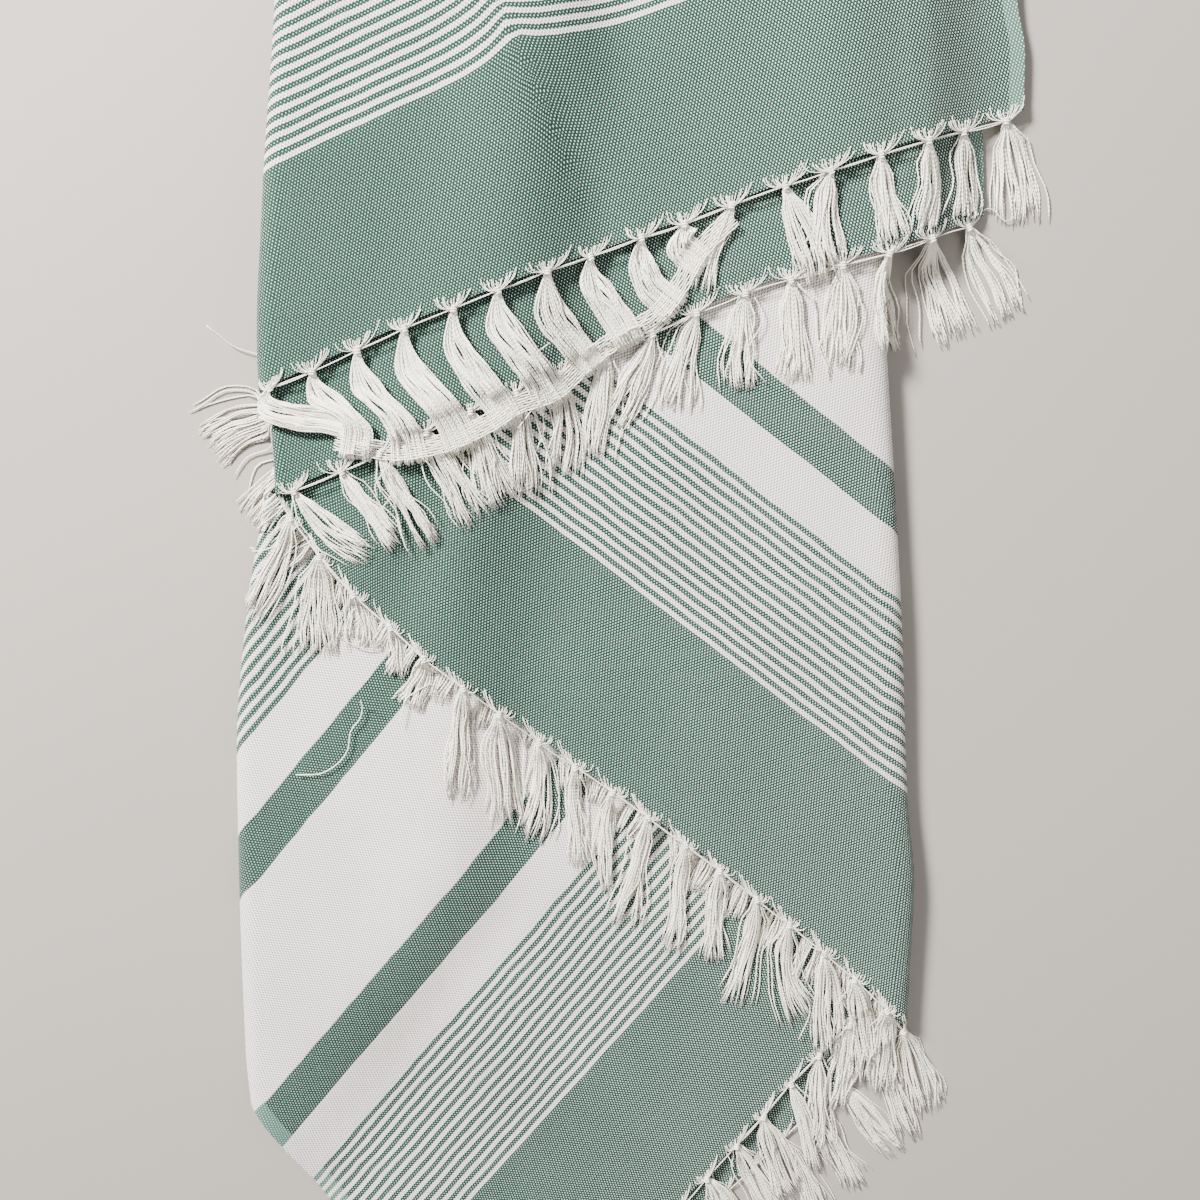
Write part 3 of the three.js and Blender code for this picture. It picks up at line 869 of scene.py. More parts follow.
@dataclass
class Cloth:
    """The towel's cloth: one thin closed sheet on the stack's folds, with its weave laid out on it."""

    stack: Stack
    thickness: float = 1.1
    rows: int = 110
    far_rows: int = 6
    crowding: float = 1.45
    fade: float = 50.0
    undulation: float = 0.35
    long_wave: tuple[float, float] = (19.0, 41.0)
    cross_wave: tuple[float, float] = (23.0, 57.0)
    short_wave: tuple[float, float, float] = (9.0, 31.0, 0.6)
    settled_height: float = 6.0
    near_reach: float = 2.2
    # painted light: how strongly, and over what reach across, the greens are painted lighter towards the
    # right
    side_light_amount: float = 0.26
    side_light_reach: float = 190.0
    no_hem: float = 99.0
    sharp_angle: float = 60.0
    kink: Kink = Kink()
    stations: Stations = field(default_factory=Stations)

    def threads(self, half: Half, y: np.ndarray, flat_x: np.ndarray) -> tuple[np.ndarray, np.ndarray]:
        """Lays out the weave: each panel has its own slant, and hidden panels ease into the shown ones.

        Args:
            half: the half of the cloth.
            y: place along of each point, a row for each station.
            flat_x: place across, as if each panel were laid out flat past its fold.

        Returns:
            The distance along the stripes from the first selvedge, and the distance from the fringe.
        """
        panels = self.stations.nearest_panel()
        along, away = np.empty_like(y), np.empty_like(y)
        for panel in Panel:
            rows = panels == panel
            along[rows], away[rows] = self.panel_threads(half, panel, flat_x[rows], y[rows])
        joins = (
            {"kept": Panel.TOP, "eased": Panel.SECOND, "fold": 0},
            {"kept": Panel.THIRD, "eased": Panel.SECOND, "fold": 1} if half.inset[1]
            else {"kept": Panel.SECOND, "eased": Panel.THIRD, "fold": 1},
        )
        for join in joins:
            rows = panels == join["eased"]
            x, at = flat_x[rows], y[rows]
            crest = self.crest(half, join["fold"], at)
            kept_along, kept_away = self.panel_threads(half, join["kept"], crest, at)
            own_along, own_away = self.panel_threads(half, join["eased"], crest, at)
            gap_along, gap_away = kept_along - own_along, kept_away - own_away
            share = 1.0 - ramp(0.0, self.fade, np.abs(x - crest))
            along[rows] += (gap_along - gap_along.flat[0]) * share
            inner = half.inset[join["fold"]] > 0.0
            away[rows] += (gap_away - (gap_away.flat[0] if inner else 0.0)) * share
        return along, away

    def panel_threads(self, half: Half, panel: int, x: np.ndarray,
                      y: np.ndarray) -> tuple[np.ndarray, np.ndarray]:
        """Lays out one panel's weave on its own stripe line, and the return's as the third panel's mirrored.

        Args:
            half: the half of the cloth.
            panel: the panel.
            x: places across in the flat layout.
            y: places along.

        Returns:
            The distance along the stripes, and the distance from the fringe.
        """
        if panel == Panel.RETURN:
            crest = self.crest(half, 2, y)
            return self.panel_threads(half, Panel.THIRD, 2.0 * crest - x, y)
        along, away = half.stripes[panel].threads(x, y)
        if panel == Panel.TOP:
            away = (y - self.stack.near_line(half, panel, x)) * np.cos(np.radians(half.stripes[panel].slant))
            if half is self.stack.halves["front"]:
                away -= self.kink.shift_at(x, y, away)
        return self.stack.turn_side[panel] * along, away

    def crest(self, half: Half, fold: int, y: np.ndarray) -> np.ndarray:
        """Finds a fold's crest in the flat layout: the turn's centre and half of its arc.

        Args:
            half: the half of the cloth.
            fold: the fold.
            y: places along.

        Returns:
            The place across of the crest.
        """
        centre, reach = self.stack.turn(half, fold, y)
        upper = self.stack.height(half, fold, centre, y)
        lower = self.stack.height(half, fold + 1, centre, y)
        return centre + self.stack.turn_side[fold] * turn_arc(reach, upper, lower) / 2.0

    def hem(self, half: Half, x: np.ndarray, y: np.ndarray) -> np.ndarray:
        """Measures the distance from the stitched selvedges.

        Args:
            half: the half of the cloth.
            x: place across of each point, a row for each station.
            y: place along.

        Returns:
            The distance in millimetres, large where a panel has no selvedge.
        """
        panels = self.stations.nearest_panel()
        distance = np.full_like(x, self.no_hem)
        top = panels == Panel.TOP
        distance[top] = half.selvedge.read(y[top]) - x[top]
        ends = {
            Panel.THIRD: (half.near_ends[Panel.THIRD].points[1], half.near_ends[Panel.THIRD].points[2]),
            Panel.RETURN: half.near_ends[Panel.RETURN].points[::-1],
        }
        for panel, (first, last) in ends.items():
            rows = panels == panel
            distance[rows] = np.abs(beside_line(first, last, x[rows], y[rows])[1])
        return distance

    def half_sheet(self, label: str) -> dict[str, np.ndarray]:
        """Builds one half from its near end to the far fold, with swells, creases and a gentle unevenness.

        Args:
            label: name of the half.

        Returns:
            Places, weave and hem distance, as grids of stations by rows.
        """
        stack, half = self.stack, self.stack.halves[label]
        near = stack.near_end(half, self.stations) - self.near_reach
        share = (np.arange(self.rows + 1) / self.rows) ** self.crowding
        y = near + (stack.far_fold - near) * share
        x, z, flat_x = stack.section(half, self.stations, y)
        panels = self.stations.nearest_panel()
        for crease in stack.creases:
            if crease.half == label:
                rows = panels == crease.panel
                z[rows] -= crease.drop(x[rows], y[rows])
        long, cross, short = self.long_wave, self.cross_wave, self.short_wave
        wave = np.sin(x / long[0] + y / long[1]) * np.sin(y / cross[0] - x / cross[1])
        wave += short[2] * np.sin(x / short[0] - y / short[1])
        z += self.undulation * wave * ramp(0.0, self.settled_height, z)
        along, away = self.threads(half, y, flat_x)
        return {"place": np.stack([x, y, z], -1), "along": along, "away": away, "hem": self.hem(half, x, y)}

    def build(self) -> tuple[bpy.types.Object, dict[str, np.ndarray]]:
        """Joins the halves round the far fold and closes the sheet at its thickness.

        Returns:
            The cloth, and the grid of places of each half.
        """
        front, back = self.half_sheet("front"), self.half_sheet("back")
        angle = np.pi * np.arange(1, self.far_rows) / self.far_rows
        mix = ((1.0 - np.cos(angle)) / 2.0)[None, :, None]
        first, last = front["place"][:, -1:], back["place"][:, -1:]
        bend = first + (last - first) * mix
        bend[..., 1] += self.stack.far_bulge * np.sin(angle)
        middle = np.concatenate([front["place"], bend, back["place"][:, ::-1]], axis=1)

        def joined(label: str) -> np.ndarray:
            """Joins one value of both halves, on straight lines round the far fold."""
            between = front[label][:, -1:] + (back[label][:, -1:] - front[label][:, -1:]) * mix[..., 0]
            return np.concatenate([front[label], between, back[label][:, ::-1]], axis=1)

        along_line = np.gradient(middle, axis=1)
        along_row = np.gradient(middle, axis=0)
        normal = np.cross(along_line, along_row)
        normal /= np.linalg.norm(normal, axis=-1, keepdims=True)
        shift = normal * self.thickness / 2.0
        vertices = np.concatenate([(middle + shift).reshape(-1, 3), (middle - shift).reshape(-1, 3)])
        vertices[:, 2] = np.maximum(vertices[:, 2], 0.0)
        faces = shell_faces(*middle.shape[:2])
        if signed_volume(vertices, faces) < 0:
            faces = faces[:, ::-1]
        uv = np.stack([joined("along").ravel(), joined("away").ravel()], -1) * MM
        # painted light: a share rising from left to right across the stack, which the finish uses to paint
        # the greens lighter on the right side
        painted_side_light = self.side_light_amount * (ramp(-self.side_light_reach, self.side_light_reach, middle[..., 0].ravel()) - 0.5)
        attributes = {"hem": np.tile(joined("hem").ravel(), 2), "painted_side_light": np.tile(painted_side_light, 2)}
        piece = new_mesh_object("cloth", vertices, [faces], np.tile(uv, (2, 1)), attributes)
        piece.data.set_sharp_from_angle(angle=np.radians(self.sharp_angle))
        piece.data.materials.append(StripedCotton().material())
        return piece, {"front": front["place"], "back": back["place"]}


def shell_faces(rows: int, columns: int) -> np.ndarray:
    """Lists the quads of a closed sheet: a grid, its copy underneath and a rim between them.

    Args:
        rows: number of grid rows.
        columns: number of grid columns.

    Returns:
        Four vertex numbers a face.
    """
    number = np.arange(rows * columns).reshape(rows, columns)
    under = number + rows * columns
    top = np.stack([number[:-1, :-1], number[:-1, 1:], number[1:, 1:], number[1:, :-1]], -1).reshape(-1, 4)
    bottom = np.stack([under[:-1, :-1], under[1:, :-1], under[1:, 1:], under[:-1, 1:]], -1).reshape(-1, 4)
    rim = np.concatenate([number[0, :], number[1:, -1], number[-1, -2::-1], number[-2:0:-1, 0]])
    following = np.roll(rim, -1)
    offset = rows * columns
    side = np.stack([rim, rim + offset, following + offset, following], -1)
    return np.concatenate([top, bottom, side])


def signed_volume(vertices: np.ndarray, quads: np.ndarray) -> float:
    """Adds up the signed volumes of the pyramids from the origin to each quad's two triangles."""
    a, b, c, d = (vertices[quads[:, k]] for k in range(4))
    corners = np.einsum("ij,ij->i", a, np.cross(b, c)) + np.einsum("ij,ij->i", a, np.cross(c, d))
    return float(corners.sum() / 6.0)


@dataclass
class Strands:
    """A heap of round strands that becomes one mesh: each is a path of places with a radius."""

    vertices: list[np.ndarray] = field(default_factory=list)
    quads: list[np.ndarray] = field(default_factory=list)
    caps: list[np.ndarray] = field(default_factory=list)
    uv: list[np.ndarray] = field(default_factory=list)
    tone: list[np.ndarray] = field(default_factory=list)
    count: int = 0
    lowest: float = 0.05

    def add(self, paths: np.ndarray, radius: np.ndarray | float, tone: np.ndarray, sides: int = 3) -> None:
        """Carries a regular polygon along each path, square to it, and closes both ends.

        Args:
            paths: places, as strands by steps by 3.
            radius: radius of the strands at each step, or one for all.
            tone: one value for each strand.
            sides: number of corners of the section.
        """
        strands, steps = paths.shape[:2]
        run = np.gradient(paths, axis=1)
        length = np.linalg.norm(run, axis=-1, keepdims=True)
        run /= np.maximum(length, 1e-6)
        side = np.cross(run, [0.0, 0.0, 1.0])
        side += np.array([1e-4, 0.0, 0.0])
        side /= np.linalg.norm(side, axis=-1, keepdims=True)
        up = np.cross(side, run)
        angle = 2.0 * np.pi * np.arange(sides) / sides
        reach = np.broadcast_to(radius, (strands, steps))[..., None, None]
        around = side[:, :, None] * np.cos(angle)[:, None] + up[:, :, None] * np.sin(angle)[:, None]
        places = paths[:, :, None] + around * reach
        number = np.arange(strands * steps * sides).reshape(strands, steps, sides) + self.count
        following = np.roll(number, -1, axis=2)
        quads = np.stack([number[:, :-1], following[:, :-1], following[:, 1:], number[:, 1:]], -1)
        self.vertices.append(places.reshape(-1, 3))
        self.quads.append(quads.reshape(-1, 4))
        self.caps.append(np.concatenate([number[:, 0, ::-1], number[:, -1]]))
        walked = np.cumsum(length[..., 0], axis=1) * MM
        turn = np.broadcast_to(np.arange(sides) / sides, (strands, steps, sides))
        self.uv.append(np.stack([np.repeat(walked[..., None], sides, 2), turn], -1).reshape(-1, 2))
        self.tone.append(np.repeat(tone, steps * sides))
        self.count += strands * steps * sides

    def to_object(self, name: str) -> bpy.types.Object:
        """Joins all strands into one mesh object of the given name."""
        caps: dict[int, list[np.ndarray]] = {}
        for cap in self.caps:
            caps.setdefault(cap.shape[1], []).append(cap)
        faces = [np.concatenate(self.quads)] + [np.concatenate(group) for group in caps.values()]
        vertices = np.concatenate(self.vertices)
        vertices[:, 2] = np.maximum(vertices[:, 2], self.lowest)
        attributes = {"tone": np.concatenate(self.tone)}
        piece = new_mesh_object(name, vertices, faces, np.concatenate(self.uv), attributes)
        piece.data.materials.append(CottonYarn().material())
        return piece


@dataclass(frozen=True)
class PanelTassels:
    """How one panel's tassels lie: their length, and rows of a place across with a value there.

    lean is in degrees, spread half the width and trim the share of the length.
    """

    length: float
    lean: tuple[tuple[float, float], ...]
    spread: tuple[tuple[float, float], ...] = ((0.0, 5.6),)
    trim: tuple[tuple[float, float], ...] = ((0.0, 1.0),)


def read_rows(rows: tuple[tuple[float, float], ...], x: np.ndarray) -> np.ndarray:
    """Reads the rows' values at the places x, on straight lines between them."""
    return np.interp(x, *np.array(rows).T)


TASSELS: dict[str, tuple[PanelTassels, PanelTassels, PanelTassels]] = {
    "front": (
        PanelTassels(38, ((-137, 20), (-125, 30), (-60, 20), (10, 15), (35, -30), (55, -28), (72, 16),
                          (120, 2), (150, 2), (168, 20)), ((140, 5.2), (165, 9.0))),
        PanelTassels(36, ((-139, -88), (-132, -55), (-110, -30), (0, -25), (134, -12)),
                     ((-130, 8.5), (-90, 5.6))),
        PanelTassels(46, ((-51, 26), (45, 30), (72, 26), (97, 6), (112, -10))),
    ),
    "back": (
        PanelTassels(40, ((-133, 34), (-95, 24), (20, -12), (47, -22), (65, 20), (110, 0), (158, 18)),
                     ((100, 5.6), (125, 7.4))),
        PanelTassels(50, ((-134, -32), (-120, -9), (-100, 30), (-75, -20), (-55, -8), (70, -5), (95, 7),
                          (125, 12), (139, 24)),
                     ((-105, 6.0), (-70, 4.6), (-50, 3.7), (60, 3.9), (95, 5.6)),
                     ((-118, 0.95), (-107, 0.45), (-68, 0.45), (-58, 1.0))),
        PanelTassels(46, ((-39, 30), (110, 32), (139, 24))),
    ),
}


@dataclass(frozen=True)
class UncutBand:
    """A narrow woven band left on the tips of some tassels of the top panel, along a path in plan."""

    path: tuple[tuple[float, float], ...] = (
        (-106, 73), (-96, 71), (-83, 69), (-68, 71), (-48, 79), (-35, 87), (-21, 92), (-8, 104), (6, 114),
        (20, 122), (28, 132), (36, 146), (50, 160),
    )
    first_x: float = -134.0
    last_x: float = 42.0
    width: float = 8.0
    picks: int = 8
    tail: float = 1.6
    tail_scatter: tuple[float, float] = (0.4, 1.3)
    crossing: tuple[float, ...] = (0.35, 0.75, 1.0)
    tangent_reach: float = 3.0
    ribbon: float = 6.3
    ribbon_steps: int = 16
    ribbon_root: float = 0.9
    ribbon_scatter: tuple[float, float] = (0.8, 1.1)
    ribbon_span: tuple[float, float] = (0.05, 0.88)
    row_scatter: float = 0.05
    leave: tuple[float, float] = (-0.22, -1.0)
    leave_pull: float = 1.25
    arrive_pull: float = 1.05
    root_side: tuple[float, float] = (0.94, 0.34)
    turning: tuple[float, float] = (0.15, 1.0)
    meeting: tuple[float, float] = (0.4, 1.0)
    widening: tuple[float, float] = (-0.06, 0.42)
    waving: tuple[float, float] = (0.4, 0.65)
    locks: int = 6
    lock_wave: tuple[float, float] = (0.6, 1.3)
    own_wave: tuple[float, float] = (0.3, 2.1)
    lift: tuple[float, float, float] = (0.5, 1.1, 1.7)
    rise: tuple[float, float, float] = (1.2, 1.6, 0.9)
    ease: float = 0.2
    curl_end: tuple[float, float] = (-109, 77)
    curl_heading: tuple[float, float] = (0.97, -0.24)
    curl_leave: tuple[float, float] = (-1.1, -1.0)
    curl_width: float = 4.8
    yarn_steps: int = 90
    yarn_height: float = 2.0
    yarn_inset: float = 0.6
    jitter: float = 0.18
    jitter_rate: float = 190.0
    jitter_shift: float = 2.1

    def line(self, share: np.ndarray) -> tuple[np.ndarray, np.ndarray]:
        """Reads the path as a smooth line, at shares of its length.

        Args:
            share: shares of the length, held between 0 and 1.

        Returns:
            Places in plan, and unit directions square to the path, away from the knots.
        """
        points = np.array(self.path, float)
        length = walk(points)[-1]
        at = np.clip(share, 0.0, 1.0) * length
        ahead = curve_through(points, np.minimum(at + self.tangent_reach, length))
        behind = curve_through(points, np.maximum(at - self.tangent_reach, 0.0))
        run = ahead - behind
        run /= np.linalg.norm(run, axis=-1, keepdims=True)
        return curve_through(points, at), np.stack([run[..., 1], -run[..., 0]], -1)


STRAYS: dict[str, tuple[tuple[Panel, tuple[tuple[float, float], ...]], ...]] = {
    "front": (
        (Panel.TOP, ((-134, 101), (-142, 104), (-152, 107), (-160, 113), (-164, 116))),
        (Panel.TOP, ((-87, 68), (-86, 60), (-91, 50), (-90, 46))),
        (Panel.TOP, ((-83, 66), (-85, 57), (-84, 49), (-89, 41))),
        (Panel.TOP, ((-80, 66), (-70, 61), (-64, 51), (-62, 40), (-57, 33))),
        (Panel.TOP, ((-20, 108), (-30, 98), (-27, 84), (-33, 74))),
        (Panel.THIRD, ((60, -255), (52, -268), (57, -285), (49, -300))),
    ),
    "back": (
        (Panel.TOP, ((150, 158), (160, 163), (167, 158), (171, 160))),
        (Panel.TOP, ((60, 131), (66, 118), (60, 104), (68, 92))),
        (Panel.SECOND, ((-94, 3), (-104, -2), (-108, -14), (-98, -19), (-90, -12), (-87, -2))),
        (Panel.SECOND, ((-101, -40), (-102, -48), (-107, -55), (-108, -62), (-114, -70), (-123, -74),
                        (-131, -74))),
        (Panel.SECOND, ((-71, -33), (-78, -37), (-83, -41), (-86, -52))),
        (Panel.SECOND, ((-128, 28), (-136, 25), (-143, 23), (-150, 23))),
        (Panel.SECOND, ((20, -92), (12, -104), (18, -122), (10, -136))),
        (Panel.SECOND, ((96, -152), (88, -170), (95, -186), (90, -201))),
    ),
}


@dataclass
class Fringe:
    """One knotted fringe: fans of warp ends, a knot for each, a twined thread and a tassel of loose yarn."""

    stack: Stack
    label: str
    edge: np.ndarray
    inner: np.ndarray
    stations: Stations
    pitch: float = 20.0
    first: float = 7.0
    last_gap: float = 3.0
    pitch_scatter: float = 1.1
    drop: float = 1.9
    drop_scatter: float = 0.7
    smoothing: int = 3
    yarn: float = 0.33
    strands: int = 44
    steps: int = 10
    strand_taper: tuple[float, float, float] = (1.05, 0.9, 0.4)
    locks: int = 4
    lean_scatter: float = 6.0
    curl_scatter: float = 16.0
    curl_start: float = 0.3
    length_scatter: tuple[float, float] = (0.9, 1.07)
    row_scatter: float = 0.09
    lock_scatter: float = 0.9
    stray_share: float = 0.14
    stray_reach: float = 1.9
    width_scatter: tuple[float, float] = (0.75, 1.25)
    root_width: float = 0.8
    early_share: float = 0.62
    early_end: float = 0.28
    late_power: float = 1.4
    lock_wave: tuple[float, float] = (0.9, 0.9)
    own_wave: float = 0.55
    own_turns: tuple[float, float] = (0.7, 1.7)
    waving: tuple[float, float] = (0.05, 0.7)
    strand_reach: tuple[float, float] = (0.84, 1.04)
    body: float = 2.6
    crown_width: float = 1.05
    crown_edge: float = 0.05
    thinning: float = 0.55
    tassel_ease: float = 0.3
    fan_strands: int = 20
    fan_steps: int = 6
    fan_reach: float = 8.8
    fan_row_scatter: float = 0.1
    fan_scatter: tuple[float, float] = (0.7, 1.15)
    fan_yarn: float = 0.22
    fan_taper: tuple[float, float] = (0.7, 1.0)
    fan_bends: tuple[tuple[float, float], ...] = ((0.85, 0.4), (0.45, 1.1))
    fan_root: tuple[float, float, float] = (0.8, 1.6, 3.4)
    fan_root_scatter: tuple[float, float] = (0.3, 1.0)
    knot_scatter: tuple[float, float, float] = (0.4, 0.4, 0.16)
    fan_rise: tuple[float, float] = (0.7, 0.5)
    wrap_steps: int = 19
    wrap_turns: float = 2.5
    wrap_size: tuple[float, float, float] = (2.6, 0.95, 0.9)
    wrap_lean: float = 0.4
    wrap_yarn: float = 0.42
    link_steps: int = 7
    link_sag: tuple[float, float] = (-0.5, 0.6)
    link_rise: float = 0.7
    link_yarn: float = 0.24
    hair_steps: int = 16
    hair_start: float = 20.0
    hair_rise: float = 1.6
    hair_yarn: float = 0.26
    band_yarn: float = 0.3
    at_once: float = 0.01
    tone_range: tuple[float, float] = (0.35, 1.0)
    rng: np.random.Generator = field(init=False)
    line: np.ndarray = field(init=False)
    outward: np.ndarray = field(init=False)
    walked: np.ndarray = field(init=False)
    panels: np.ndarray = field(init=False)

    def __post_init__(self) -> None:
        """Keeps the fringed part of the half's near edge, from the selvedge to the corner."""
        self.rng = np.random.default_rng(SEED + len(self.label))
        panels = self.stations.nearest_panel()
        half = self.stack.halves[self.label]
        past = (self.stations.panel == Panel.THIRD) & (self.stations.turn | (self.edge[:, 0] < half.corner))
        fringed = ~(past | (self.stations.panel == Panel.RETURN))
        self.line = self.edge[fringed]
        outward = self.line - self.inner[fringed]
        self.outward = outward / np.linalg.norm(outward, axis=1, keepdims=True)
        self.walked = walk(self.line)
        self.panels = panels[fringed]

    def on_edge(self, at: np.ndarray) -> tuple[np.ndarray, np.ndarray]:
        """Reads the edge at distances walked along it.

        Args:
            at: distances from the selvedge.

        Returns:
            Places on the edge, and the directions that leave the cloth there.
        """
        clipped = np.clip(at, 0.0, self.walked[-1])
        place = np.stack([np.interp(clipped, self.walked, self.line[:, k]) for k in range(3)], -1)
        away = np.stack([np.interp(clipped, self.walked, self.outward[:, k]) for k in range(3)], -1)
        return place, away / np.linalg.norm(away, axis=-1, keepdims=True)

    def knots(self) -> tuple[np.ndarray, np.ndarray, np.ndarray]:
        """Spaces the knots evenly along the edge, a little uneven as tied by hand.

        Returns:
            The distance of each along the edge, its place, and its panel.
        """
        at = np.arange(self.first, self.walked[-1] - self.last_gap, self.pitch)
        at = at + self.rng.uniform(-self.pitch_scatter, self.pitch_scatter, len(at))
        place, away = self.on_edge(at)
        drop = self.drop + self.rng.uniform(-self.drop_scatter, self.drop_scatter, len(at))
        place = place + away * drop[:, None]
        panel = self.panels[np.clip(np.searchsorted(self.walked, at), 0, len(self.panels) - 1)]
        return at, place, panel

    def lay(self, paths: np.ndarray, panel: np.ndarray, rise: np.ndarray | float, ease: float) -> np.ndarray:
        """Lets strands down from their start onto what lies under them, and smooths the steps there.

        Args:
            paths: places, as strands by steps by 3; the height of the first step is kept.
            panel: the panel that each strand belongs to.
            rise: height of each step over what it lies on.
            ease: share of the strand over which it comes down.

        Returns:
            The paths with their heights set.
        """
        half = self.stack.halves[self.label]
        owner = np.repeat(panel[:, None], paths.shape[1], 1)
        under = self.stack.support(half, owner, paths[..., 0], paths[..., 1])
        smooth = under
        for _ in range(self.smoothing):
            padded = np.concatenate([smooth[:, :1], smooth, smooth[:, -1:]], axis=1)
            smooth = (padded[:, :-2] + 2.0 * padded[:, 1:-1] + padded[:, 2:]) / 4.0
        rest = np.maximum(smooth, under) + self.yarn + rise
        share = ramp(0.0, ease, np.linspace(0.0, 1.0, paths.shape[1]))
        laid = paths.copy()
        laid[..., 2] = np.maximum(paths[:, :1, 2] * (1.0 - share) + rest * share, under + self.yarn)
        return laid

    def tassel_paths(self, knot: np.ndarray, panel: np.ndarray) -> np.ndarray:
        """Shapes the loose strands: they leave the knot together, spread, and wave in a few shared locks.

        Args:
            knot: place of each knot.
            panel: panel of each knot.

        Returns:
            The strands' paths.
        """
        count = len(knot)
        lean, length, spread = np.zeros((3, count))
        for k, laid in enumerate(TASSELS[self.label]):
            here = panel == k
            lean[here] = read_rows(laid.lean, knot[here, 0])
            spread[here] = read_rows(laid.spread, knot[here, 0])
            length[here] = laid.length * read_rows(laid.trim, knot[here, 0])
        lean = np.radians(lean + self.rng.normal(0.0, self.lean_scatter, count))
        curl = np.radians(self.rng.normal(0.0, self.curl_scatter, count))
        length = length * self.rng.uniform(*self.length_scatter, count)
        q = np.linspace(0.0, 1.0, self.steps)
        heading = lean[:, None] + curl[:, None] * (q - self.curl_start)
        step = np.stack([np.sin(heading), -np.cos(heading)], -1) * (length / (self.steps - 1))[:, None, None]
        centre = np.cumsum(np.concatenate([np.zeros((count, 1, 2)), step[:, 1:]], axis=1), axis=1)
        side = np.stack([np.cos(heading), np.sin(heading)], -1)
        shape = (count, self.strands)
        across = np.broadcast_to(np.linspace(-1.0, 1.0, self.strands), shape)
        across = across + self.rng.normal(0.0, self.row_scatter, shape)
        lock_phase = by_lock(across, self.rng.uniform(0.0, 2.0 * np.pi, (count, self.locks)))
        lock_shift = by_lock(across, self.rng.normal(0.0, self.lock_scatter, (count, self.locks)))
        stray = np.where(self.rng.random(shape) < self.stray_share, self.stray_reach, 1.0)[..., None]
        wide = (spread * self.rng.uniform(*self.width_scatter, count))[:, None, None]
        late_share = 1.0 - self.early_share
        opened = self.early_share * ramp(0.0, self.early_end, q) + late_share * q ** self.late_power
        opening = self.root_width + (wide - self.root_width) * opened
        phase = self.rng.uniform(0.0, 2.0 * np.pi, shape)[..., None]
        rate = self.rng.uniform(*self.own_turns, shape)[..., None]
        wave = ripple(*self.lock_wave, q, lock_phase) + ripple(self.own_wave, rate, q, phase)
        offset = across[..., None] * opening * stray + (lock_shift + wave * stray) * ramp(*self.waving, q)
        reach = self.rng.uniform(*self.strand_reach, shape)[..., None, None]
        plan = knot[:, None, None, :2] + (centre[:, None] * reach + side[:, None] * offset[..., None])
        layer = self.rng.random(shape)[..., None]
        crown = np.sqrt(np.clip(self.crown_width - across ** 2, self.crown_edge, 1.0))[..., None]
        rise = layer * crown * self.body * (1.0 - self.thinning * q)
        paths = raised(plan, knot[:, None, None, 2]).reshape(-1, self.steps, 3)
        owner = np.repeat(panel, self.strands)
        return self.lay(paths, owner, rise.reshape(-1, self.steps), self.tassel_ease)

    def fan_paths(self, at: np.ndarray, knot: np.ndarray) -> np.ndarray:
        """Draws the warp ends that gather into each knot, as cubic curves that leave the cloth square to it.

        Args:
            at: distance of each knot along the edge.
            knot: place of each knot.

        Returns:
            The strands' paths.
        """
        shape = (len(at), self.fan_strands)
        share = np.broadcast_to(np.linspace(-1.0, 1.0, self.fan_strands), shape)
        share = share + self.rng.normal(0.0, self.fan_row_scatter, shape)
        share = share * self.rng.uniform(*self.fan_scatter, shape)
        start, away = self.on_edge(at[:, None] + share * self.fan_reach)
        least, even, outer = self.fan_root
        inside = least + self.rng.uniform(*self.fan_root_scatter, shape) * (even + outer * np.abs(share))
        points = [start - away * inside[..., None]]
        for part, out in self.fan_bends:
            place, direction = self.on_edge(at[:, None] + share * self.fan_reach * part)
            points.append(place + direction * out)
        loose = self.rng.normal(0.0, 1.0, (*shape, 3)) * self.knot_scatter
        points.append(np.broadcast_to(knot[:, None], (*shape, 3)) + loose)
        t = np.linspace(0.0, 1.0, self.fan_steps)[None, None, :, None]
        weights = [(1 - t) ** 3, 3 * t * (1 - t) ** 2, 3 * t * t * (1 - t), t ** 3]
        paths = sum(weight * point[:, :, None] for weight, point in zip(weights, points))
        least, most = self.fan_rise
        paths[..., 2] += least + most * self.rng.random(shape)[..., None]
        return paths.reshape(-1, self.fan_steps, 3)

    def wrap_paths(self, knot: np.ndarray, lean: np.ndarray) -> np.ndarray:
        """Winds each knot: a short helix of two turns and a half round the way in which the tassel leaves.

        Args:
            knot: place of each knot.
            lean: direction of each tassel in plan, in radians.

        Returns:
            The paths of the windings.
        """
        length, wide, high = self.wrap_size
        t = np.linspace(0.0, 1.0, self.wrap_steps)
        angle = 2.0 * np.pi * self.wrap_turns * t
        heading = np.stack([np.sin(lean), -np.cos(lean), np.zeros_like(lean)], -1)[:, None]
        side = np.stack([np.cos(lean), np.sin(lean), np.zeros_like(lean)], -1)[:, None]
        along = (heading * (t - 0.5)[None, :, None]) * length
        around = side * np.cos(angle)[None, :, None] * wide
        up = np.array([0.0, 0.0, 1.0]) * (np.sin(angle) + 1.0)[None, :, None] * high
        return knot[:, None] + along + around + up

    def link_paths(self, knot: np.ndarray) -> np.ndarray:
        """Runs the twined thread from knot to knot, with a slight sag between them."""
        t = np.linspace(0.0, 1.0, self.link_steps)[None, :, None]
        first, last = knot[:-1, None], knot[1:, None]
        paths = np.repeat(first + (last - first) * t, 2, axis=0)
        sag = self.rng.uniform(*self.link_sag, (len(paths), 1, 1)) * np.sin(np.pi * t)
        paths[..., 1] -= sag[..., 0]
        paths[..., 2] += self.link_rise
        return paths

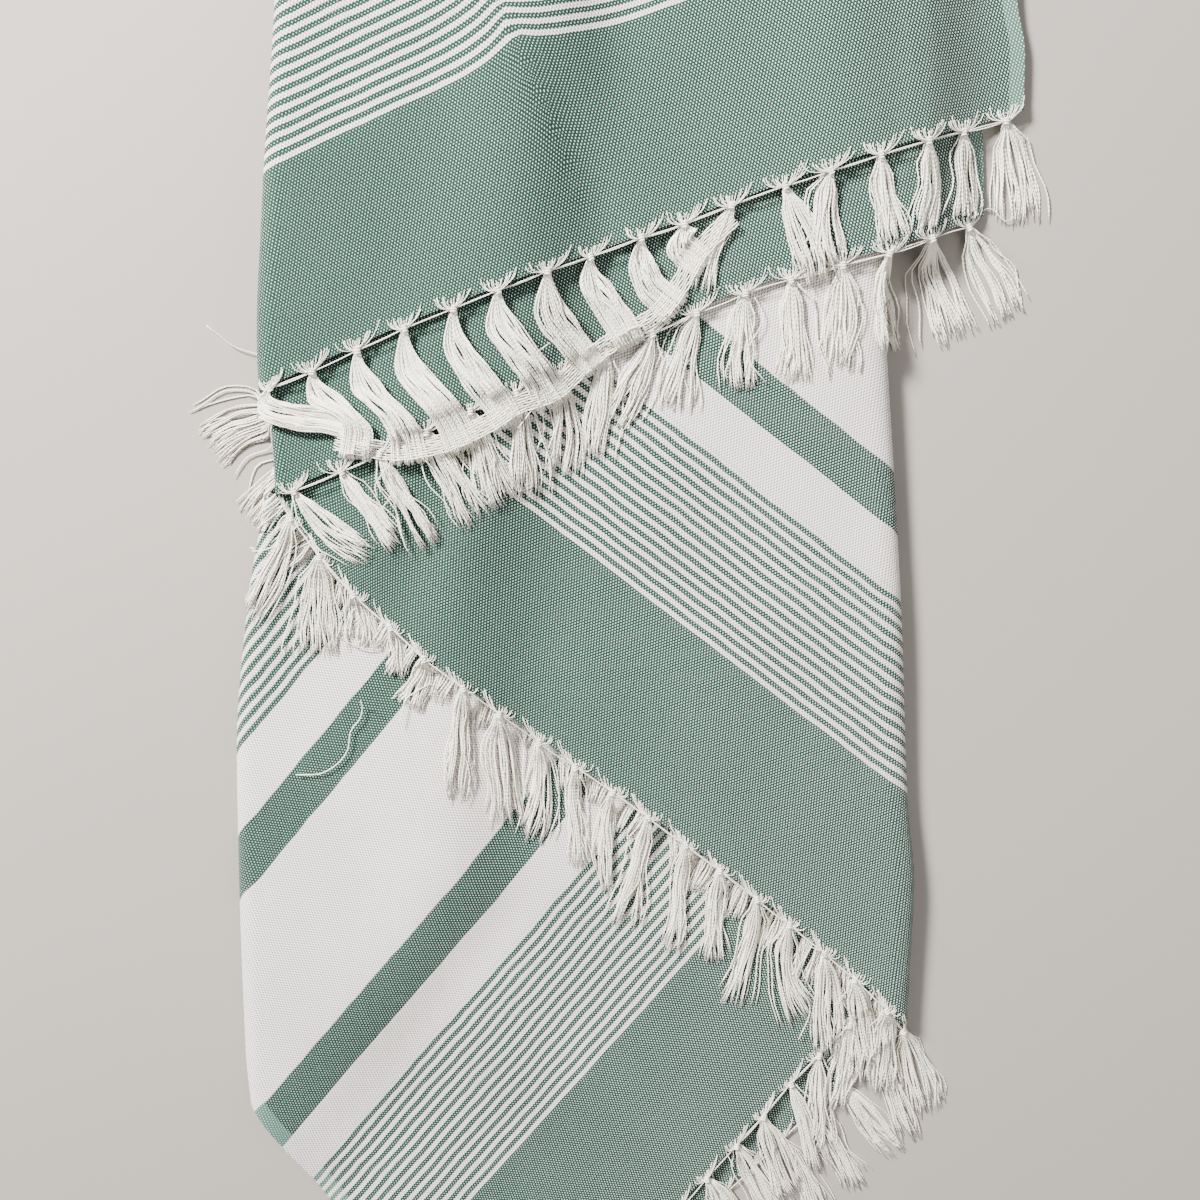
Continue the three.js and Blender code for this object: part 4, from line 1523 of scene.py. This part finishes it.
    def band_paths(self, band: UncutBand, knot: np.ndarray) -> tuple[np.ndarray, np.ndarray]:
        """Draws flat ribbons of yarn from some knots to the band, and the band's own lengthwise yarns.

        Args:
            band: the band.
            knot: place of the knots whose tassels end in it, from its first end on.

        Returns:
            The ribbons' strands, which run on across the band, and the lengthwise yarns.
        """
        count = len(knot)
        shape = (count, self.strands)
        length = walk(np.array(band.path, float))[-1]
        across = np.broadcast_to(np.linspace(-1.0, 1.0, self.strands), shape)
        across = across + self.rng.normal(0.0, band.row_scatter, shape)
        middle = np.concatenate([[0.0], np.linspace(*band.ribbon_span, count - 1)])[:, None]
        target, square = band.line(middle + across * band.ribbon / length)
        end, end_square = band.line(middle)
        end[0], end_square[0], square[0] = band.curl_end, band.curl_heading, band.curl_heading
        curl_side = np.array([-band.curl_heading[1], band.curl_heading[0]])
        target[0] = end[0] + across[0][:, None] * band.curl_width * curl_side
        start = knot[:, None, :2]
        gap = np.linalg.norm(end - start, axis=-1, keepdims=True)
        leave = np.array(band.leave) * gap * band.leave_pull
        leave[0] = np.array(band.curl_leave) * gap[0] * band.leave_pull
        arrive = end_square * gap * band.arrive_pull
        t = np.linspace(0.0, 1.0, band.ribbon_steps)
        s = t[None, None, :, None]
        weights = [2 * s ** 3 - 3 * s ** 2 + 1, s ** 3 - 2 * s ** 2 + s,
                   3 * s ** 2 - 2 * s ** 3, s ** 3 - s ** 2]
        parts = [start, leave, end, arrive]
        centre = sum(weight * part[:, :, None] for weight, part in zip(weights, parts))
        tangent = np.stack([-end_square[..., 1], end_square[..., 0]], -1)[:, :, None]
        turned = ramp(*band.turning, s)
        side = np.array(band.root_side) * (1.0 - turned) + tangent * turned
        side = side / np.linalg.norm(side, axis=-1, keepdims=True)
        lock_phase = by_lock(across, self.rng.uniform(0.0, 2.0 * np.pi, (count, band.locks)))
        own_phase = self.rng.uniform(0.0, 2.0 * np.pi, shape)[..., None]
        wave = ripple(*band.lock_wave, t, lock_phase) + ripple(*band.own_wave, t, own_phase)
        free = ramp(0.0, band.waving[0], t) * (1.0 - ramp(band.waving[1], 1.0, t))
        wide = band.ribbon * self.rng.uniform(*band.ribbon_scatter, (count, 1, 1))
        half_width = band.ribbon_root + (wide - band.ribbon_root) * ramp(*band.widening, t)
        offset = across[..., None] * half_width + wave * free
        curve = centre + side * offset[..., None]
        curve = curve + (target[:, :, None] - curve[:, :, -1:]) * ramp(*band.meeting, s)
        beyond = np.array(band.crossing)[None, None, :, None]
        reach = (band.width + band.tail * self.rng.uniform(*band.tail_scatter, shape))[..., None, None]
        over = target[:, :, None] + square[:, :, None] * beyond * reach
        paths = raised(np.concatenate([curve, over], axis=2), knot[:, None, None, 2])
        steps = paths.shape[2]
        q = np.linspace(0.0, 1.0, steps)
        height, turns, share = band.lift
        lift = ripple(height, turns, q, share * lock_phase) * np.append(free, np.zeros(len(band.crossing)))
        least, arch, scatter = band.rise
        rise = least + arch * np.sin(np.pi * q) ** 2 + lift + scatter * self.rng.random((*shape, 1))
        top = np.zeros(count * self.strands, int)
        ribbons = self.lay(paths.reshape(-1, steps, 3), top, rise.reshape(-1, steps), band.ease)
        share = np.linspace(0.0, 1.0, band.yarn_steps)
        place, away = band.line(share)
        number = np.arange(band.picks)[:, None]
        jitter = band.jitter * np.sin(share * band.jitter_rate + number * band.jitter_shift)
        offsets = (number + band.yarn_inset) / band.picks * band.width
        lengthwise = raised(place + away * (offsets + jitter)[..., None], knot[:, 2].mean())
        rise = band.yarn_height + jitter
        return ribbons, self.lay(lengthwise, np.zeros(band.picks, int), rise, self.at_once)

    def stray_paths(self) -> np.ndarray:
        """Lays the few long loose hairs on smooth lines through their given places.

        Returns:
            The hairs' paths.
        """
        hairs = []
        for _, points in STRAYS[self.label]:
            place = np.array(points, float)
            at = np.linspace(0.0, walk(place)[-1], self.hair_steps)
            hairs.append(raised(curve_through(place, at), self.hair_start))
        panels = np.array([panel for panel, _ in STRAYS[self.label]])
        return self.lay(np.array(hairs), panels, self.hair_rise, self.at_once)

    def build(self, band: UncutBand | None = None) -> bpy.types.Object:
        """Builds all strands of the fringe as one piece.

        Args:
            band: the uncut band on this fringe's tips, if it has one.

        Returns:
            The piece.
        """
        at, knot, panel = self.knots()
        heap = Strands()
        banded = np.zeros(len(knot), bool)
        if band:
            banded = (panel == Panel.TOP) & (knot[:, 0] > band.first_x) & (knot[:, 0] < band.last_x)
            order = np.flatnonzero(banded)
            order = order[np.argsort(knot[order, 0])]
            ribbons, lengthwise = self.band_paths(band, knot[order])
            heap.add(ribbons, self.yarn, self.tones(len(ribbons)))
            heap.add(lengthwise, self.band_yarn, self.tones(len(lengthwise)), 4)
        loose = self.tassel_paths(knot[~banded], panel[~banded])
        root, tip, end = self.strand_taper
        radius = self.yarn * np.append(np.linspace(root, tip, self.steps - 1), end)
        heap.add(loose, radius, self.tones(len(loose)))
        fans = self.fan_paths(at, knot)
        heap.add(fans, self.fan_yarn * np.linspace(*self.fan_taper, self.fan_steps), self.tones(len(fans)))
        wraps = self.wrap_paths(knot, self.rng.uniform(-self.wrap_lean, self.wrap_lean, len(knot)))
        heap.add(wraps, self.wrap_yarn, self.tones(len(wraps)), 4)
        links = self.link_paths(knot)
        heap.add(links, self.link_yarn, self.tones(len(links)))
        hairs = self.stray_paths()
        heap.add(hairs, self.hair_yarn, self.tones(len(hairs)))
        return heap.to_object(f"tassels_{self.label}")

    def tones(self, count: int) -> np.ndarray:
        """Draws a tone between warm and pale for each strand."""
        return self.rng.uniform(*self.tone_range, count)


def by_lock(across: np.ndarray, values: np.ndarray) -> np.ndarray:
    """Gives the strands of each lock one value.

    Args:
        across: place of each strand across its tassel, from -1 to 1.
        values: one value for each lock of each tassel.

    Returns:
        The value of each strand, with a last axis of one.
    """
    locks = values.shape[1]
    lock = np.clip(((across + 1.0) * locks / 2.0).astype(int), 0, locks - 1)
    return np.take_along_axis(values, lock, 1)[..., None]


def ripple(height: float, turns: np.ndarray | float, share: np.ndarray, phase: np.ndarray) -> np.ndarray:
    """Gives a sine wave of a height and a number of turns, at shares of the way and from a phase."""
    return height * np.sin(2.0 * np.pi * turns * share + phase)


@dataclass
class Studio:
    """A pale floor, soft lights from above and the camera over the near end."""

    floor_size: float = 6000.0
    floor_colour: str = "#978f87"
    camera_height: float = 513.6
    camera_ahead: float = 81.3
    tilt: float = 9.0
    lens: float = 36.0
    sensor: float = 36.0
    clip_start: float = 0.01
    aim: tuple[float, float, float] = (0.0, -50.0, 0.0)
    surround: str = "#f2f4f6"
    surround_strength: float = 0.5
    floor_roughness: float = 0.7
    lights: tuple[tuple[str, tuple[float, float, float], float, float], ...] = (
        ("key", (-1000.0, 900.0, 1000.0), 340.0, 178.0),
        ("fill", (1100.0, -500.0, 1300.0), 1600.0, 14.0),
    )

    def floor(self) -> bpy.types.Object:
        """Builds the floor as one square of a plain pale finish."""
        half = self.floor_size / 2.0
        corners = np.array([(-half, -half, 0), (half, -half, 0), (half, half, 0), (-half, half, 0)], float)
        piece = new_mesh_object("floor", corners, [np.array([[0, 1, 2, 3]])], corners[:, :2] * MM, {})
        material, _ = new_material("pale painted board", {
            "Base Color": linear(self.floor_colour), "Roughness": self.floor_roughness,
        })
        piece.data.materials.append(material)
        return piece

    def build(self) -> None:
        """Adds the floor, the lights, a pale surround and the camera."""
        self.floor()
        scene = bpy.context.scene
        for name, place, size, power in self.lights:
            lamp = bpy.data.lights.new(name, "AREA")
            lamp.energy = power
            lamp.size = size * MM
            holder = bpy.data.objects.new(name, lamp)
            holder.location = np.array(place) * MM
            holder.rotation_euler = look_along(np.subtract(self.aim, place) * MM)
            scene.collection.objects.link(holder)
        world = bpy.data.worlds.new("pale surround")
        world.use_nodes = True
        background = world.node_tree.nodes["Background"]
        background.inputs["Color"].default_value = linear(self.surround)
        background.inputs["Strength"].default_value = self.surround_strength
        scene.world = world
        camera = bpy.data.cameras.new("camera")
        camera.lens = self.lens
        camera.sensor_width = self.sensor
        camera.clip_start = self.clip_start
        view = bpy.data.objects.new("camera", camera)
        place = PLAN_SHIFT + np.array([0.0, self.camera_ahead, self.camera_height])
        view.location = place * MM
        view.rotation_euler = (np.radians(-self.tilt), 0.0, 0.0)
        scene.collection.objects.link(view)
        scene.camera = view


def look_along(direction: np.ndarray) -> tuple[float, float, float]:
    """Turns an object's own -Z onto a direction.

    Args:
        direction: the direction to look along.

    Returns:
        Angles about X and Z that do so.
    """
    flat = np.hypot(direction[0], direction[1])
    pitch = np.arctan2(flat, -direction[2])
    heading = np.arctan2(-direction[0], direction[1])
    return (float(pitch), 0.0, float(heading))


def main() -> None:
    """Builds the towel and its studio, in order, and reports each piece."""
    logging.basicConfig(level=logging.INFO, format="%(message)s")
    log = logging.getLogger("towel")
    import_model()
    Studio().build()
    stack = Stack()
    cloth = Cloth(stack)
    sheet, grids = cloth.build()
    pieces = []
    for label, band in (("front", UncutBand()), ("back", None)):
        grid = grids[label]
        fringe = Fringe(stack, label, grid[:, 0], grid[:, 1], cloth.stations)
        pieces.append((fringe.build(band), f"fringe_{label}", "fringe"))
    for piece, node, slot in (*pieces, (sheet, "towel", "cloth")):
        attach(piece, "root")
        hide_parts(node)
        log.info("%s: %d triangles", piece.name, len(piece.data.loops) - 2 * len(piece.data.polygons))


if __name__ == "__main__":
    main()
